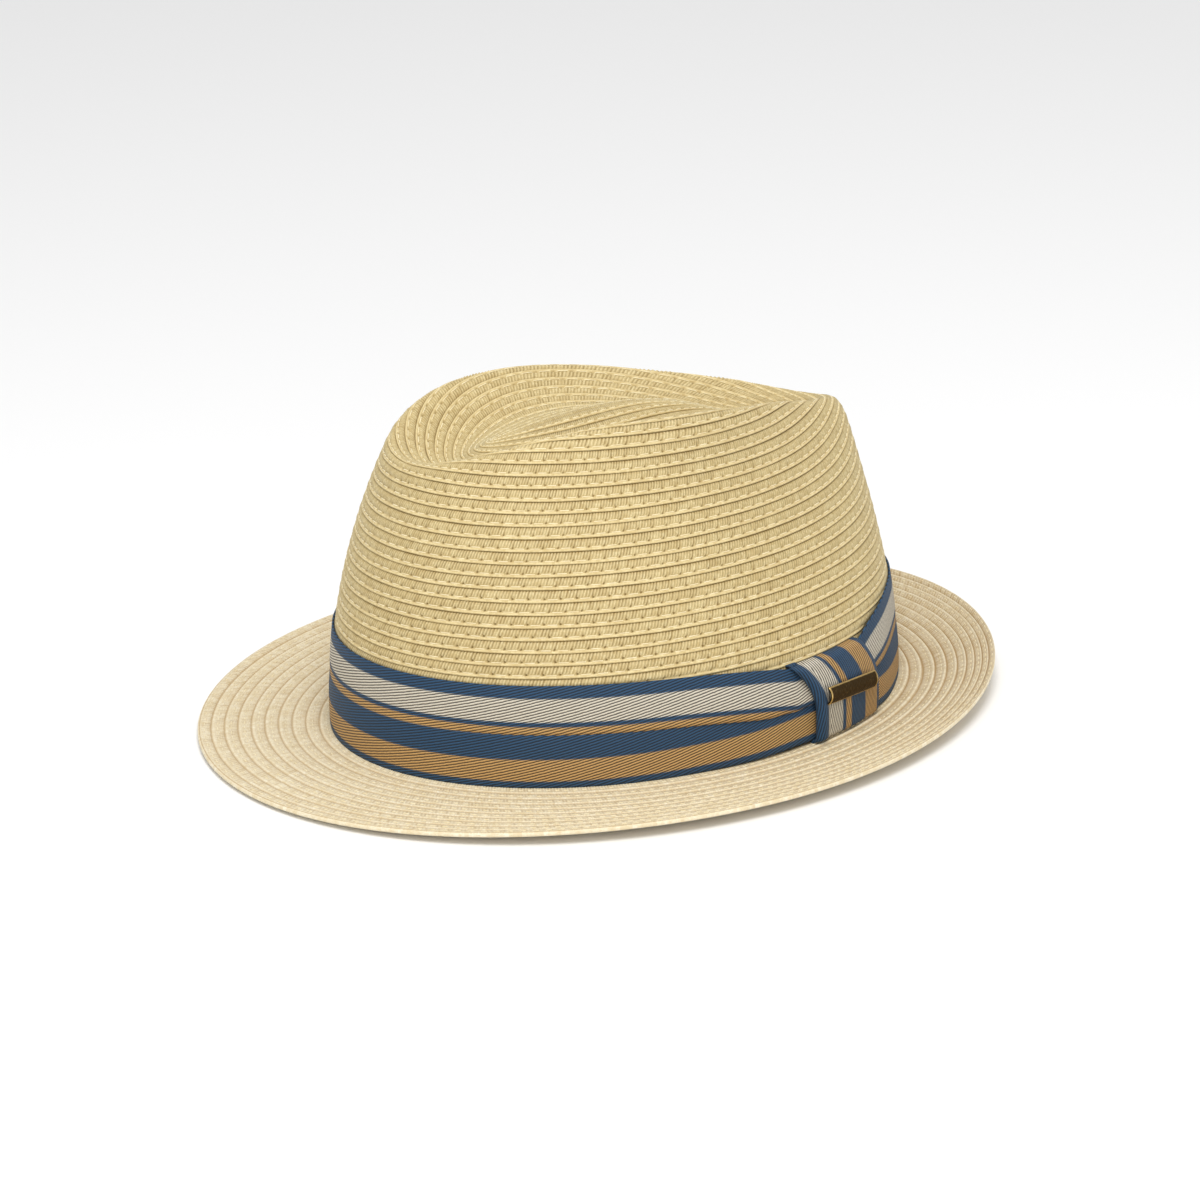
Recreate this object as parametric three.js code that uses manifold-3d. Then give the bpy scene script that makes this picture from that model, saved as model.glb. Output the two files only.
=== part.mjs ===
// Straw fedora with a teardrop crown, a striped ribbon hatband, a keeper loop and a brass badge.
// Units are millimetres. +Z is up, the front of the hat faces -Y and the wearer's left is +X.
// An angle round the hat is zero at the front and grows towards the wearer's left.
import * as THREE from "three";
import { mergeVertices } from "three/addons/utils/BufferGeometryUtils.js";
import Module from "manifold-3d";

const wasm = await Module();
wasm.setup();

// ---------------------------------------------------------------- driving dimensions
const GAP = 0.3;
const STEPS_ROUND = 72;

// The head opening, measured on the outside of the crown's wall.
const CROWN_HALF_LENGTH = 104.6;
const CROWN_HALF_WIDTH = 83.4;
const CROWN_BACK_SHIFT = 6.6;
const CROWN_THICKNESS = 2;
const WALL_CURVE_SIDE = 2.2;
const WALL_CURVE_ENDS = 2;

// The crease ring on top of the crown: a drop with its round end at the front.
const RIM_HALF_LENGTH = 88;
const RIM_HALF_WIDTH = 33;
const RIM_BACK_SHIFT = 12.8;
const RIM_FRONT_FULLNESS = 0.64;
const RIM_WAIST = -0.12;
const RIM_HEIGHT = 106.5;
const RIM_FRONT_LIFT = 5.3;
const RIM_END_DROP = 5.8;
const RIM_NOSE_DIP = 2.2;

// The dished top inside the crease ring, with a raised ridge along its middle.
const TROUGH_INWARD = 0.55;
const TROUGH_DEPTH = 7;
const RIDGE_HEIGHT = 104;
const RIDGE_BACK_DROP = 6;
const RIDGE_HALF_LENGTH = 34;
const RIDGE_BACK_SHIFT = -4;

// The brim: a flat ring under the crown that rises to the edge, most at the back.
const BRIM_WIDTH = 43;
const BRIM_FRONT_EXTRA = 6.6;
const BRIM_THICKNESS = 1.8;
const BRIM_SEAT_WIDTH = 7;
const BRIM_RISE = 4.8;
const BRIM_BACK_RISE = 3.9;
const BRIM_RISE_WAVES = [0.7, -1];
const BRIM_CURVE_POWER = 1.8;
const BRIM_EDGE_BEAD = 2.6;
const EDGE_BEAD_WIDTH = 4.4;
const BEAD_ROUND = 0.6;

// The wire that stiffens the brim's edge, in a groove that is open below.
const WIRE_RADIUS = 0.4;
const WIRE_SIDES = 8;
const GROOVE_WIDTH = 1.6;
const GROOVE_DEPTH = 1.5;
const GROOVE_FROM_EDGE = 1.3;

// The ribbon of the hatband and the keeper.
const RIBBON_WIDTH = 36;
const RIBBON_THICKNESS = 0.9;
const BAND_TOP_DIP = 7.5;
const BAND_FOOT_LIFT = 2.2;
const BAND_GATHER_REACH = THREE.MathUtils.degToRad(29);
const BAND_LIFT_REACH = THREE.MathUtils.degToRad(34);
const KEEPER_FLAT_REACH = THREE.MathUtils.degToRad(17);

// The keeper: a loop of the same ribbon, stood on edge round the gathered hatband.
const KEEPER_ANGLE = THREE.MathUtils.degToRad(112);
const KEEPER_PLY = 0.9;
const KEEPER_FRONT_SPACE = 1.1;
const KEEPER_CORNER = 0.5;
const KEEPER_FACE_SHARES = [0, 0.25, 0.5, 0.75, 1];
const KEEPER_BULGE = 0.6;
const KEEPER_STEPS_ACROSS = 8;

// The badge: a plate bowed across its width, held by two clenched prongs.
const BADGE_LENGTH = 27;
const BADGE_WIDTH = 6.6;
const BADGE_THICKNESS = 0.8;
const BADGE_BOW = 1.8;
const BADGE_BACK_SHIFT = THREE.MathUtils.degToRad(3.3);
const BADGE_LIFT = 0.8;
const BADGE_TILT = THREE.MathUtils.degToRad(4);
const BADGE_ARC_STEPS = 8;
const PRONG_WIDTH = 1.6;
const PRONG_THICKNESS = 0.5;
const PRONG_SPACING = 18;
const PRONG_FOOT_LENGTH = 3;
const PRONG_FOOT_THICKNESS = 0.4;
const SLIT_CLEARANCE = 0.3;

const SWEATBAND_FOOT = 2.3;
const SWEATBAND_HEIGHT = 32;
const SWEATBAND_THICKNESS = 0.9;
const SWEATBAND_FIT = 0.4;
const REED_RADIUS = 0.75;
const REED_CENTRE_HEIGHT = 1.15;
const REED_SIDES = 8;

const TAPE = { width: 16, height: 30, foot: 3.3, thickness: 0.5, angle: THREE.MathUtils.degToRad(180) };
const SIZE_LABEL = { width: 13, height: 17, foot: 12, thickness: 0.5, angle: THREE.MathUtils.degToRad(166) };
const CARE_LABEL = { width: 26, height: 46, foot: 8, thickness: 0.5, angle: THREE.MathUtils.degToRad(146) };

// ---------------------------------------------------------------- looks
const COLOURS = {
  crownStraw: { color: 0xd9c187, roughness: 0.75, metalness: 0 },
  brimStraw: { color: 0xe4d6ae, roughness: 0.75, metalness: 0 },
  ribbon: { color: 0x2f5a85, roughness: 0.7, metalness: 0 },
  brass: { color: 0x6e5c34, roughness: 0.4, metalness: 0.9 },
  steel: { color: 0x8a8d90, roughness: 0.4, metalness: 1 },
  sweatband: { color: 0xcdbf9e, roughness: 0.85, metalness: 0 },
  label: { color: 0xf1efe9, roughness: 0.6, metalness: 0 },
};

// ---------------------------------------------------------------- heights that follow
const BRIM_TOP = BRIM_THICKNESS;
const CROWN_FOOT = BRIM_TOP + GAP;
const BAND_FOOT = BRIM_TOP + GAP;
const BAND_HEAD = BAND_FOOT + RIBBON_WIDTH;

// ---------------------------------------------------------------- crown surface
const WALL_SHARES = [0, 0.12, 0.26, 0.4, 0.55, 0.7, 0.82, 0.91, 0.97];
const SHOULDER_INWARD = 0.14;
const SHOULDER_DROP = 2.6;
const RIDGE_SIDE_INWARD = 0.84;
const RIDGE_SIDE_DROP = 1.6;
const STEPS_PER_KNOT = 2;

const vector = (x, y, z) => new THREE.Vector3(x, y, z);
const roundAngle = (step) => (step / STEPS_ROUND) * Math.PI * 2;

function footPoint(angle) {
  const x = CROWN_HALF_WIDTH * Math.sin(angle);
  const y = CROWN_BACK_SHIFT - CROWN_HALF_LENGTH * Math.cos(angle);
  return vector(x, y, CROWN_FOOT);
}

// The level direction that points straight out of the wall.
function outward(angle) {
  const x = Math.sin(angle) / CROWN_HALF_WIDTH;
  const y = -Math.cos(angle) / CROWN_HALF_LENGTH;
  return vector(x, y, 0).normalize();
}

function rimPoint(angle) {
  const c = Math.cos(angle);
  const fullness = 1 + RIM_FRONT_FULLNESS * c + RIM_WAIST * Math.cos(2 * angle);
  const lift = RIM_FRONT_LIFT * c - RIM_END_DROP * Math.cos(2 * angle);
  const nose = -RIM_NOSE_DIP * Math.cos(3 * angle);
  return vector(
    RIM_HALF_WIDTH * Math.sin(angle) * fullness,
    RIM_BACK_SHIFT - RIM_HALF_LENGTH * c,
    RIM_HEIGHT + lift + nose,
  );
}

// The ridge is a line, so the two sides of the crown meet along it.
function ridgePoint(angle) {
  const along = -Math.cos(angle);
  const height = RIDGE_HEIGHT - RIDGE_BACK_DROP * ((1 + along) / 2) ** 2;
  return vector(0, RIDGE_BACK_SHIFT + RIDGE_HALF_LENGTH * along, height);
}

function wallPoint(angle, share) {
  const foot = footPoint(angle);
  const rim = rimPoint(angle);
  const ends = Math.cos(angle) ** 2;
  const power = WALL_CURVE_SIDE + (WALL_CURVE_ENDS - WALL_CURVE_SIDE) * ends;
  const lean = share ** power;
  const height = foot.z + (rim.z - foot.z) * share;
  return foot.lerp(rim, lean).setZ(height);
}

function wallAtHeight(angle, height) {
  return wallPoint(angle, (height - CROWN_FOOT) / (rimPoint(angle).z - CROWN_FOOT));
}

// From the foot of the wall, over the crease, down into the trough and up to the ridge.
function meridian(angle) {
  const rim = rimPoint(angle);
  const ridge = ridgePoint(angle);
  const shoulder = rim.clone().lerp(ridge, SHOULDER_INWARD).setZ(rim.z - SHOULDER_DROP);
  const trough = rim.clone().lerp(ridge, TROUGH_INWARD);
  trough.setZ((rim.z + ridge.z) / 2 - TROUGH_DEPTH);
  const ridgeSide = rim.clone().lerp(ridge, RIDGE_SIDE_INWARD).setZ(ridge.z - RIDGE_SIDE_DROP);
  const wall = WALL_SHARES.map((share) => wallPoint(angle, share));
  const knots = [...wall, rim, shoulder, trough, ridgeSide, ridge];
  const curve = new THREE.CatmullRomCurve3(knots, false, "centripetal");
  return curve.getPoints((knots.length - 1) * STEPS_PER_KNOT);
}

// ---------------------------------------------------------------- solids from sections
// Joins the same section, taken at each step, into one skin. The steps close on themselves.
// A closed section gives a ring. An open section's two ends are left to meet their neighbours.
function loftedSolid(steps, sectionAt, closedSection) {
  const sections = Array.from({ length: steps }, (_, step) => sectionAt(step));
  const count = sections[0].length;
  const positions = sections.flatMap((points) => points.flatMap((p) => [p.x, p.y, p.z]));
  const index = [];
  const last = closedSection ? count : count - 1;
  for (let step = 0; step < steps; step += 1) {
    const next = (step + 1) % steps;
    for (let k = 0; k < last; k += 1) {
      const after = (k + 1) % count;
      const a = step * count + k;
      const b = next * count + k;
      const c = next * count + after;
      const d = step * count + after;
      index.push(a, b, c, a, c, d);
    }
  }
  const geometry = new THREE.BufferGeometry();
  geometry.setAttribute("position", new THREE.Float32BufferAttribute(positions, 3));
  geometry.setIndex(index);
  return facingOut(mergeVertices(geometry, 1e-3));
}

function withoutSlivers(geometry) {
  const index = geometry.index.array;
  const kept = [];
  for (let i = 0; i < index.length; i += 3) {
    const [a, b, c] = [index[i], index[i + 1], index[i + 2]];
    if (a !== b && b !== c && c !== a) kept.push(a, b, c);
  }
  geometry.setIndex(kept);
  return geometry;
}

function signedVolume(geometry) {
  const position = geometry.getAttribute("position");
  const index = geometry.index.array;
  const corner = (i) => new THREE.Vector3().fromBufferAttribute(position, index[i]);
  let sum = 0;
  for (let i = 0; i < index.length; i += 3) {
    sum += corner(i).dot(corner(i + 1).cross(corner(i + 2)));
  }
  return sum / 6;
}

function facingOut(geometry) {
  withoutSlivers(geometry);
  if (signedVolume(geometry) < 0) geometry.setIndex(Array.from(geometry.index.array).reverse());
  geometry.computeVertexNormals();
  return geometry;
}

function toManifold(geometry) {
  const bare = new THREE.BufferGeometry();
  bare.setAttribute("position", geometry.getAttribute("position").clone());
  if (geometry.index) bare.setIndex(geometry.index.clone());
  const merged = mergeVertices(bare, 1e-3);
  const vertProperties = new Float32Array(merged.getAttribute("position").array);
  const triVerts = new Uint32Array(merged.index.array);
  return new wasm.Manifold(new wasm.Mesh({ numProp: 3, vertProperties, triVerts }));
}

function toGeometry(manifold) {
  const mesh = manifold.getMesh();
  const geometry = new THREE.BufferGeometry();
  geometry.setAttribute("position", new THREE.Float32BufferAttribute(mesh.vertProperties, 3));
  geometry.setIndex(Array.from(mesh.triVerts));
  geometry.computeVertexNormals();
  return geometry;
}

function named(name, geometry, look) {
  const mesh = new THREE.Mesh(geometry, new THREE.MeshStandardMaterial(COLOURS[look]));
  mesh.name = name;
  return mesh;
}

// ---------------------------------------------------------------- crown
function crownGrid() {
  const grid = [];
  for (let step = 0; step < STEPS_ROUND; step += 1) {
    grid.push(meridian(roundAngle(step)));
  }
  return grid;
}

function crownNormal(grid, step, k) {
  const last = grid[0].length - 1;
  if (k === last) return vector(0, 0, 1);
  if (k === 0) return outward(roundAngle(step));
  const next = grid[(step + 1) % STEPS_ROUND][k];
  const before = grid[(step + STEPS_ROUND - 1) % STEPS_ROUND][k];
  const round = next.clone().sub(before);
  const along = grid[step][k + 1].clone().sub(grid[step][k - 1]);
  return round.cross(along).normalize();
}

function crownBraid() {
  const grid = crownGrid();
  const section = (step) => {
    const outer = grid[step];
    const inner = outer.map((p, k) =>
      p.clone().addScaledVector(crownNormal(grid, step, k), -CROWN_THICKNESS),
    );
    inner[0].setZ(CROWN_FOOT);
    return [...outer.slice().reverse(), ...inner];
  };
  return named("crown_braid", loftedSolid(STEPS_ROUND, section, false), "crownStraw");
}

// ---------------------------------------------------------------- brim
const BRIM_STEPS_OUT = 8;

function brimWidth(angle) {
  return BRIM_WIDTH + BRIM_FRONT_EXTRA * Math.cos(angle);
}

// The height of the brim's underside above the table, a given distance in from the edge.
function brimRise(angle, fromEdge) {
  const sloping = brimWidth(angle) - BRIM_SEAT_WIDTH;
  const climbed = Math.max(0, 1 - fromEdge / sloping);
  const waves = BRIM_RISE_WAVES.map((size, k) => size * Math.cos((k + 2) * angle));
  const edge = BRIM_RISE - BRIM_BACK_RISE * Math.cos(angle) + waves[0] + waves[1];
  return edge * climbed ** BRIM_CURVE_POWER;
}

function brimPoint(angle, fromEdge, up) {
  const out = brimWidth(angle) - fromEdge - CROWN_THICKNESS;
  const point = footPoint(angle).addScaledVector(outward(angle), out);
  return point.setZ(brimRise(angle, fromEdge) + up);
}

// Down the section: under the brim to the edge, round the wired bead and back over the top.
function brimSection(angle) {
  const width = brimWidth(angle);
  const slope = width - BRIM_SEAT_WIDTH - EDGE_BEAD_WIDTH;
  const outs = Array.from({ length: BRIM_STEPS_OUT }, (_, k) => k / (BRIM_STEPS_OUT - 1));
  const stops = [width, ...outs.map((share) => EDGE_BEAD_WIDTH + 0.6 + (slope - 0.6) * (1 - share))];
  const grooveInner = GROOVE_FROM_EDGE + GROOVE_WIDTH;
  const bead = [
    [grooveInner, 0],
    [grooveInner, GROOVE_DEPTH],
    [GROOVE_FROM_EDGE, GROOVE_DEPTH],
    [GROOVE_FROM_EDGE, 0],
    [BEAD_ROUND / 2, 0],
    [0, BEAD_ROUND],
    [0, BRIM_EDGE_BEAD - BEAD_ROUND],
    [BEAD_ROUND, BRIM_EDGE_BEAD],
    [EDGE_BEAD_WIDTH - BEAD_ROUND, BRIM_EDGE_BEAD],
    [EDGE_BEAD_WIDTH, BRIM_THICKNESS],
  ];
  const under = stops.map((fromEdge) => [fromEdge, 0]);
  const over = stops.map((fromEdge) => [fromEdge, BRIM_THICKNESS]).reverse();
  return [...under, ...bead, ...over].map(([fromEdge, up]) => brimPoint(angle, fromEdge, up));
}

function brimBraid() {
  const section = (step) => brimSection(roundAngle(step));
  return named("brim_braid", loftedSolid(STEPS_ROUND, section, true), "brimStraw");
}

function tubeSection(centre, out, radius, sides) {
  const points = [];
  for (let side = 0; side < sides; side += 1) {
    const turn = ((side + 0.5) / sides) * Math.PI * 2;
    const point = centre.clone().addScaledVector(out, radius * Math.cos(turn));
    points.push(point.setZ(centre.z + radius * Math.sin(turn)));
  }
  return points;
}

function brimEdgeWire() {
  const section = (step) => {
    const angle = roundAngle(step);
    const fromEdge = GROOVE_FROM_EDGE + GROOVE_WIDTH / 2;
    const centre = brimPoint(angle, fromEdge, GROOVE_DEPTH - GAP - WIRE_RADIUS);
    return tubeSection(centre, outward(angle), WIRE_RADIUS, WIRE_SIDES);
  };
  return named("brim_edge_wire", loftedSolid(STEPS_ROUND, section, true), "steel");
}

// ---------------------------------------------------------------- hatband
const smooth = (x) => THREE.MathUtils.smoothstep(x, 0, 1);

// One all across the keeper, falling to nothing at the reach on both sides.
function nearKeeper(angle, reach) {
  const away = Math.abs(Math.atan2(Math.sin(angle - KEEPER_ANGLE), Math.cos(angle - KEEPER_ANGLE)));
  return smooth((reach - away) / (reach - KEEPER_FLAT_REACH));
}

function bandFootHeight(angle) {
  return BAND_FOOT + BAND_FOOT_LIFT * nearKeeper(angle, BAND_GATHER_REACH);
}

function bandHeadHeight(angle) {
  return BAND_HEAD - BAND_TOP_DIP * nearKeeper(angle, BAND_GATHER_REACH);
}

// The ribbon lies on the wall, and stands off it where the keeper passes behind.
function bandStandOff(angle) {
  return GAP + (KEEPER_PLY + GAP) * nearKeeper(angle, BAND_LIFT_REACH);
}

function bandPoint(angle, share, depth) {
  const foot = bandFootHeight(angle);
  const height = foot + (bandHeadHeight(angle) - foot) * share;
  return wallAtHeight(angle, height).addScaledVector(outward(angle), bandStandOff(angle) + depth);
}

function hatband() {
  const shares = [0, 0.25, 0.5, 0.75, 1];
  const section = (step) => {
    const angle = roundAngle(step);
    const back = shares.map((share) => bandPoint(angle, share, 0));
    const front = shares.map((share) => bandPoint(angle, share, RIBBON_THICKNESS));
    return [...back, ...front.reverse()];
  };
  return named("hatband", loftedSolid(STEPS_ROUND, section, true), "ribbon");
}

// ---------------------------------------------------------------- keeper
// Half the keeper's width as an angle, from the wall's radius of curvature there.
function keeperHalfAngle() {
  const here = footPoint(KEEPER_ANGLE);
  const there = footPoint(KEEPER_ANGLE + 0.01);
  return (RIBBON_WIDTH / 2 / there.distanceTo(here)) * 0.01;
}

// The keeper's path as [height, distance out from the wall], once round the gathered band.
function keeperPath(angle, outer) {
  const grow = outer ? KEEPER_PLY : 0;
  const round = KEEPER_CORNER + grow;
  const low = bandFootHeight(angle) - GAP - grow;
  const high = bandHeadHeight(angle) + GAP + grow;
  const back = GAP + KEEPER_PLY - grow;
  const front = bandStandOff(angle) + RIBBON_THICKNESS + KEEPER_FRONT_SPACE + grow;
  const upFront = KEEPER_FACE_SHARES.map((share) => [
    low + round + (high - low - 2 * round) * share,
    front + KEEPER_BULGE * Math.sin(Math.PI * share),
  ]);
  const downBack = KEEPER_FACE_SHARES.map((share) => [high + (low - high) * share, back]);
  const cut = round * 0.3;
  return [[low, front - round], [low + cut, front - cut], ...upFront, [high - cut, front - cut],
    [high, front - round], ...downBack];
}

function keeperLoop() {
  const half = keeperHalfAngle();
  const angles = Array.from(
    { length: KEEPER_STEPS_ACROSS + 1 },
    (_, k) => KEEPER_ANGLE - half + (2 * half * k) / KEEPER_STEPS_ACROSS,
  );
  const point = (angle, [height, out]) =>
    wallAtHeight(angle, height).addScaledVector(outward(angle), out);
  const steps = keeperPath(KEEPER_ANGLE, true).length;
  const section = (step) => {
    const over = angles.map((angle) => point(angle, keeperPath(angle, true)[step]));
    const under = angles.map((angle) => point(angle, keeperPath(angle, false)[step]));
    return [...over, ...under.reverse()];
  };
  return loftedSolid(steps, section, true);
}

// ---------------------------------------------------------------- badge
// The badge's own directions: x along the band, y up, z straight out from the keeper.
function badgeFrame(distanceOut) {
  const angle = KEEPER_ANGLE + BADGE_BACK_SHIFT;
  const middle = (bandFootHeight(angle) + bandHeadHeight(angle)) / 2 + BADGE_LIFT;
  const out = outward(angle);
  const along = vector(-out.y, out.x, 0);
  const origin = wallAtHeight(angle, middle).addScaledVector(out, distanceOut);
  const frame = new THREE.Matrix4().makeBasis(along, vector(0, 0, 1), out).setPosition(origin);
  return frame.multiply(new THREE.Matrix4().makeRotationZ(-BADGE_TILT));
}

const PLATE_RADIUS = (BADGE_WIDTH ** 2 / 4 + BADGE_BOW ** 2) / (2 * BADGE_BOW);
const PLATE_SPREAD = Math.asin(BADGE_WIDTH / 2 / PLATE_RADIUS);
const PLATE_BASE = (PLATE_RADIUS - BADGE_THICKNESS) * Math.cos(PLATE_SPREAD);

// The plate's section, with its two inner edges on the line y = 0.
function plateOutline() {
  const arc = (radius) =>
    Array.from({ length: BADGE_ARC_STEPS + 1 }, (_, k) => {
      const turn = PLATE_SPREAD * (1 - (2 * k) / BADGE_ARC_STEPS);
      return new THREE.Vector2(radius * Math.sin(turn), radius * Math.cos(turn) - PLATE_BASE);
    });
  return new THREE.Shape([...arc(PLATE_RADIUS), ...arc(PLATE_RADIUS - BADGE_THICKNESS).reverse()]);
}

function box(sizeX, sizeY, sizeZ, x, y, z) {
  return new THREE.BoxGeometry(sizeX, sizeY, sizeZ).translate(x, y, z);
}

const keeperFaceOut = () =>
  bandStandOff(KEEPER_ANGLE) + RIBBON_THICKNESS + KEEPER_FRONT_SPACE + KEEPER_PLY + KEEPER_BULGE;

// How far behind the badge's back the clenched foot of a prong lies.
const PRONG_REACH = GAP + KEEPER_PLY + KEEPER_BULGE + GAP + PRONG_FOOT_THICKNESS;

function badgePlate() {
  const plate = new THREE.ExtrudeGeometry(plateOutline(), {
    depth: BADGE_LENGTH,
    bevelEnabled: false,
  });
  plate.translate(0, 0, -BADGE_LENGTH / 2).rotateX(Math.PI / 2).rotateZ(Math.PI / 2);
  let solid = toManifold(plate);
  for (const side of [-1, 1]) {
    const x = (side * PRONG_SPACING) / 2;
    const top = PLATE_RADIUS - PLATE_BASE - BADGE_THICKNESS / 2;
    const stem = box(PRONG_WIDTH, PRONG_THICKNESS, top + PRONG_REACH, x, 0, (top - PRONG_REACH) / 2);
    const footX = x - (side * (PRONG_FOOT_LENGTH - PRONG_WIDTH)) / 2;
    const footZ = -PRONG_REACH + PRONG_FOOT_THICKNESS / 2;
    const foot = box(PRONG_FOOT_LENGTH, PRONG_THICKNESS, PRONG_FOOT_THICKNESS, footX, 0, footZ);
    solid = solid.add(toManifold(stem)).add(toManifold(foot));
  }
  const geometry = toGeometry(solid).applyMatrix4(badgeFrame(keeperFaceOut() + GAP));
  return named("badge_plate", geometry, "brass");
}

function keeper() {
  let solid = toManifold(keeperLoop());
  const frame = badgeFrame(keeperFaceOut());
  const depth = KEEPER_PLY + KEEPER_BULGE + KEEPER_FRONT_SPACE;
  for (const side of [-1, 1]) {
    const slit = box(
      PRONG_WIDTH + 2 * SLIT_CLEARANCE,
      PRONG_THICKNESS + 2 * SLIT_CLEARANCE,
      depth + 1,
      (side * PRONG_SPACING) / 2,
      0,
      1 - (depth + 1) / 2,
    );
    solid = solid.subtract(toManifold(slit.applyMatrix4(frame)));
  }
  return named("band_keeper", toGeometry(solid), "ribbon");
}

// ---------------------------------------------------------------- inside the crown
// A point on the inside of the wall, a given distance in from the wall's outer face.
function insidePoint(angle, height, inset) {
  return wallAtHeight(angle, height).addScaledVector(outward(angle), -inset);
}

const SWEATBAND_INSET = CROWN_THICKNESS + SWEATBAND_FIT;
const LABEL_INSET = SWEATBAND_INSET + SWEATBAND_THICKNESS + GAP;

function sweatband() {
  const shares = [0, 0.33, 0.67, 1];
  const section = (step) => {
    const angle = roundAngle(step);
    const line = (inset) =>
      shares.map((share) => insidePoint(angle, SWEATBAND_FOOT + SWEATBAND_HEIGHT * share, inset));
    return [...line(SWEATBAND_INSET), ...line(SWEATBAND_INSET + SWEATBAND_THICKNESS).reverse()];
  };
  return named("sweatband", loftedSolid(STEPS_ROUND, section, true), "sweatband");
}

function sweatbandReed() {
  const section = (step) => {
    const angle = roundAngle(step);
    const inset = SWEATBAND_INSET + REED_RADIUS;
    const centre = insidePoint(angle, CROWN_FOOT, inset).setZ(REED_CENTRE_HEIGHT);
    return tubeSection(centre, outward(angle), REED_RADIUS, REED_SIDES);
  };
  return named("sweatband_reed", loftedSolid(STEPS_ROUND, section, true), "sweatband");
}

// A flat piece of cloth that lies against the sweatband and follows the wall.
function wallPatch(name, piece) {
  const stepsAcross = 6;
  const stepsUp = 4;
  const speed = footPoint(piece.angle).distanceTo(footPoint(piece.angle + 0.01)) / 0.01;
  const half = piece.width / 2 / speed;
  const sections = Array.from({ length: stepsAcross + 1 }, (_, k) => {
    const angle = piece.angle - half + (2 * half * k) / stepsAcross;
    const line = (inset) =>
      Array.from({ length: stepsUp + 1 }, (_, up) =>
        insidePoint(angle, piece.foot + (piece.height * up) / stepsUp, inset),
      );
    return [...line(LABEL_INSET), ...line(LABEL_INSET + piece.thickness).reverse()];
  });
  return named(name, cappedSolid(sections), "label");
}

function cappedSolid(sections) {
  const count = sections[0].length;
  const index = [];
  for (let step = 0; step + 1 < sections.length; step += 1) {
    for (let k = 0; k < count; k += 1) {
      const after = (k + 1) % count;
      const [a, b] = [step * count + k, (step + 1) * count + k];
      const [c, d] = [(step + 1) * count + after, step * count + after];
      index.push(a, b, c, a, c, d);
    }
  }
  const cap = (base, flip) => {
    for (let k = 0; k + 1 < count / 2; k += 1) {
      const [a, b, c, d] = [base + k, base + k + 1, base + count - 2 - k, base + count - 1 - k];
      if (flip) index.push(a, c, b, a, d, c);
      else index.push(a, b, c, a, c, d);
    }
  };
  cap(0, false);
  cap((sections.length - 1) * count, true);
  const geometry = new THREE.BufferGeometry();
  const positions = sections.flatMap((points) => points.flatMap((p) => [p.x, p.y, p.z]));
  geometry.setAttribute("position", new THREE.Float32BufferAttribute(positions, 3));
  geometry.setIndex(index);
  return facingOut(geometry);
}

// ---------------------------------------------------------------- the whole hat
const hat = new THREE.Group();
hat.add(
  crownBraid(),
  brimBraid(),
  brimEdgeWire(),
  hatband(),
  keeper(),
  badgePlate(),
  sweatband(),
  sweatbandReed(),
  wallPatch("sweatband_joint_tape", TAPE),
  wallPatch("size_label", SIZE_LABEL),
  wallPatch("care_label", CARE_LABEL),
);

export default hat;
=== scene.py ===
"""A straw fedora: a teardrop crown and a brim of sewn braid, a striped ribbon band, a keeper and a badge.

Lengths are millimetres until a mesh is made, which is in metres. +Z is up, the front of the hat faces -Y
and the wearer's left is +X. An angle round the hat is zero at the front and grows to the wearer's left.
"""
import math

import bpy
import numpy as np
from mathutils import Matrix, Vector


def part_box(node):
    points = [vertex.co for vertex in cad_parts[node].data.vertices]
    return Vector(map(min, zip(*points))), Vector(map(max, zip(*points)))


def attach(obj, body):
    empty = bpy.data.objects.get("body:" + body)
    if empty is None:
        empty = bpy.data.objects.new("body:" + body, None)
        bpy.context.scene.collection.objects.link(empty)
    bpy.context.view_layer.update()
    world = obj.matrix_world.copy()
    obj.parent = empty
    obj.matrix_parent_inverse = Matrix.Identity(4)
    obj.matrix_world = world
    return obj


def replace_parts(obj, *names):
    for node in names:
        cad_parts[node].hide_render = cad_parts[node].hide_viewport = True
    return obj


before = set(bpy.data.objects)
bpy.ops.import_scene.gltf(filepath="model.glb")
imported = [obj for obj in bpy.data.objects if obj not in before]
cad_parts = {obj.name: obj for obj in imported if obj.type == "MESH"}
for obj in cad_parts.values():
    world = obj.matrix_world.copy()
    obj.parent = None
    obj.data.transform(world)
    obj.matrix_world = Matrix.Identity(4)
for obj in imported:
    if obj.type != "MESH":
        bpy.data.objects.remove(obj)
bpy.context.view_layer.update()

MM = 0.001
CAD_BODY = "root"
random = np.random.default_rng(7)


def node_box(node):
    """The lowest and highest corners of a CAD node, in millimetres."""
    low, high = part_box(node)
    return np.array(low) / MM, np.array(high) / MM


# ---- driving dimensions
CROWN_LOW, CROWN_HIGH = node_box("crown_braid")
BRIM_LOW, BRIM_HIGH = node_box("brim_braid")
BADGE_LOW, BADGE_HIGH = node_box("badge_plate")

CROWN_HALF_WIDTH = (CROWN_HIGH[0] - CROWN_LOW[0]) / 2
CROWN_HALF_LENGTH = (CROWN_HIGH[1] - CROWN_LOW[1]) / 2
CROWN_BACK_SHIFT = (CROWN_HIGH[1] + CROWN_LOW[1]) / 2
CROWN_FOOT = CROWN_LOW[2]
CROWN_THICKNESS = 2.0
WALL_CURVE_SIDE = 2.2
WALL_CURVE_ENDS = 2.0
WALL_SHARES = (0, 0.12, 0.26, 0.4, 0.55, 0.7, 0.82, 0.91, 0.97)

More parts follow.
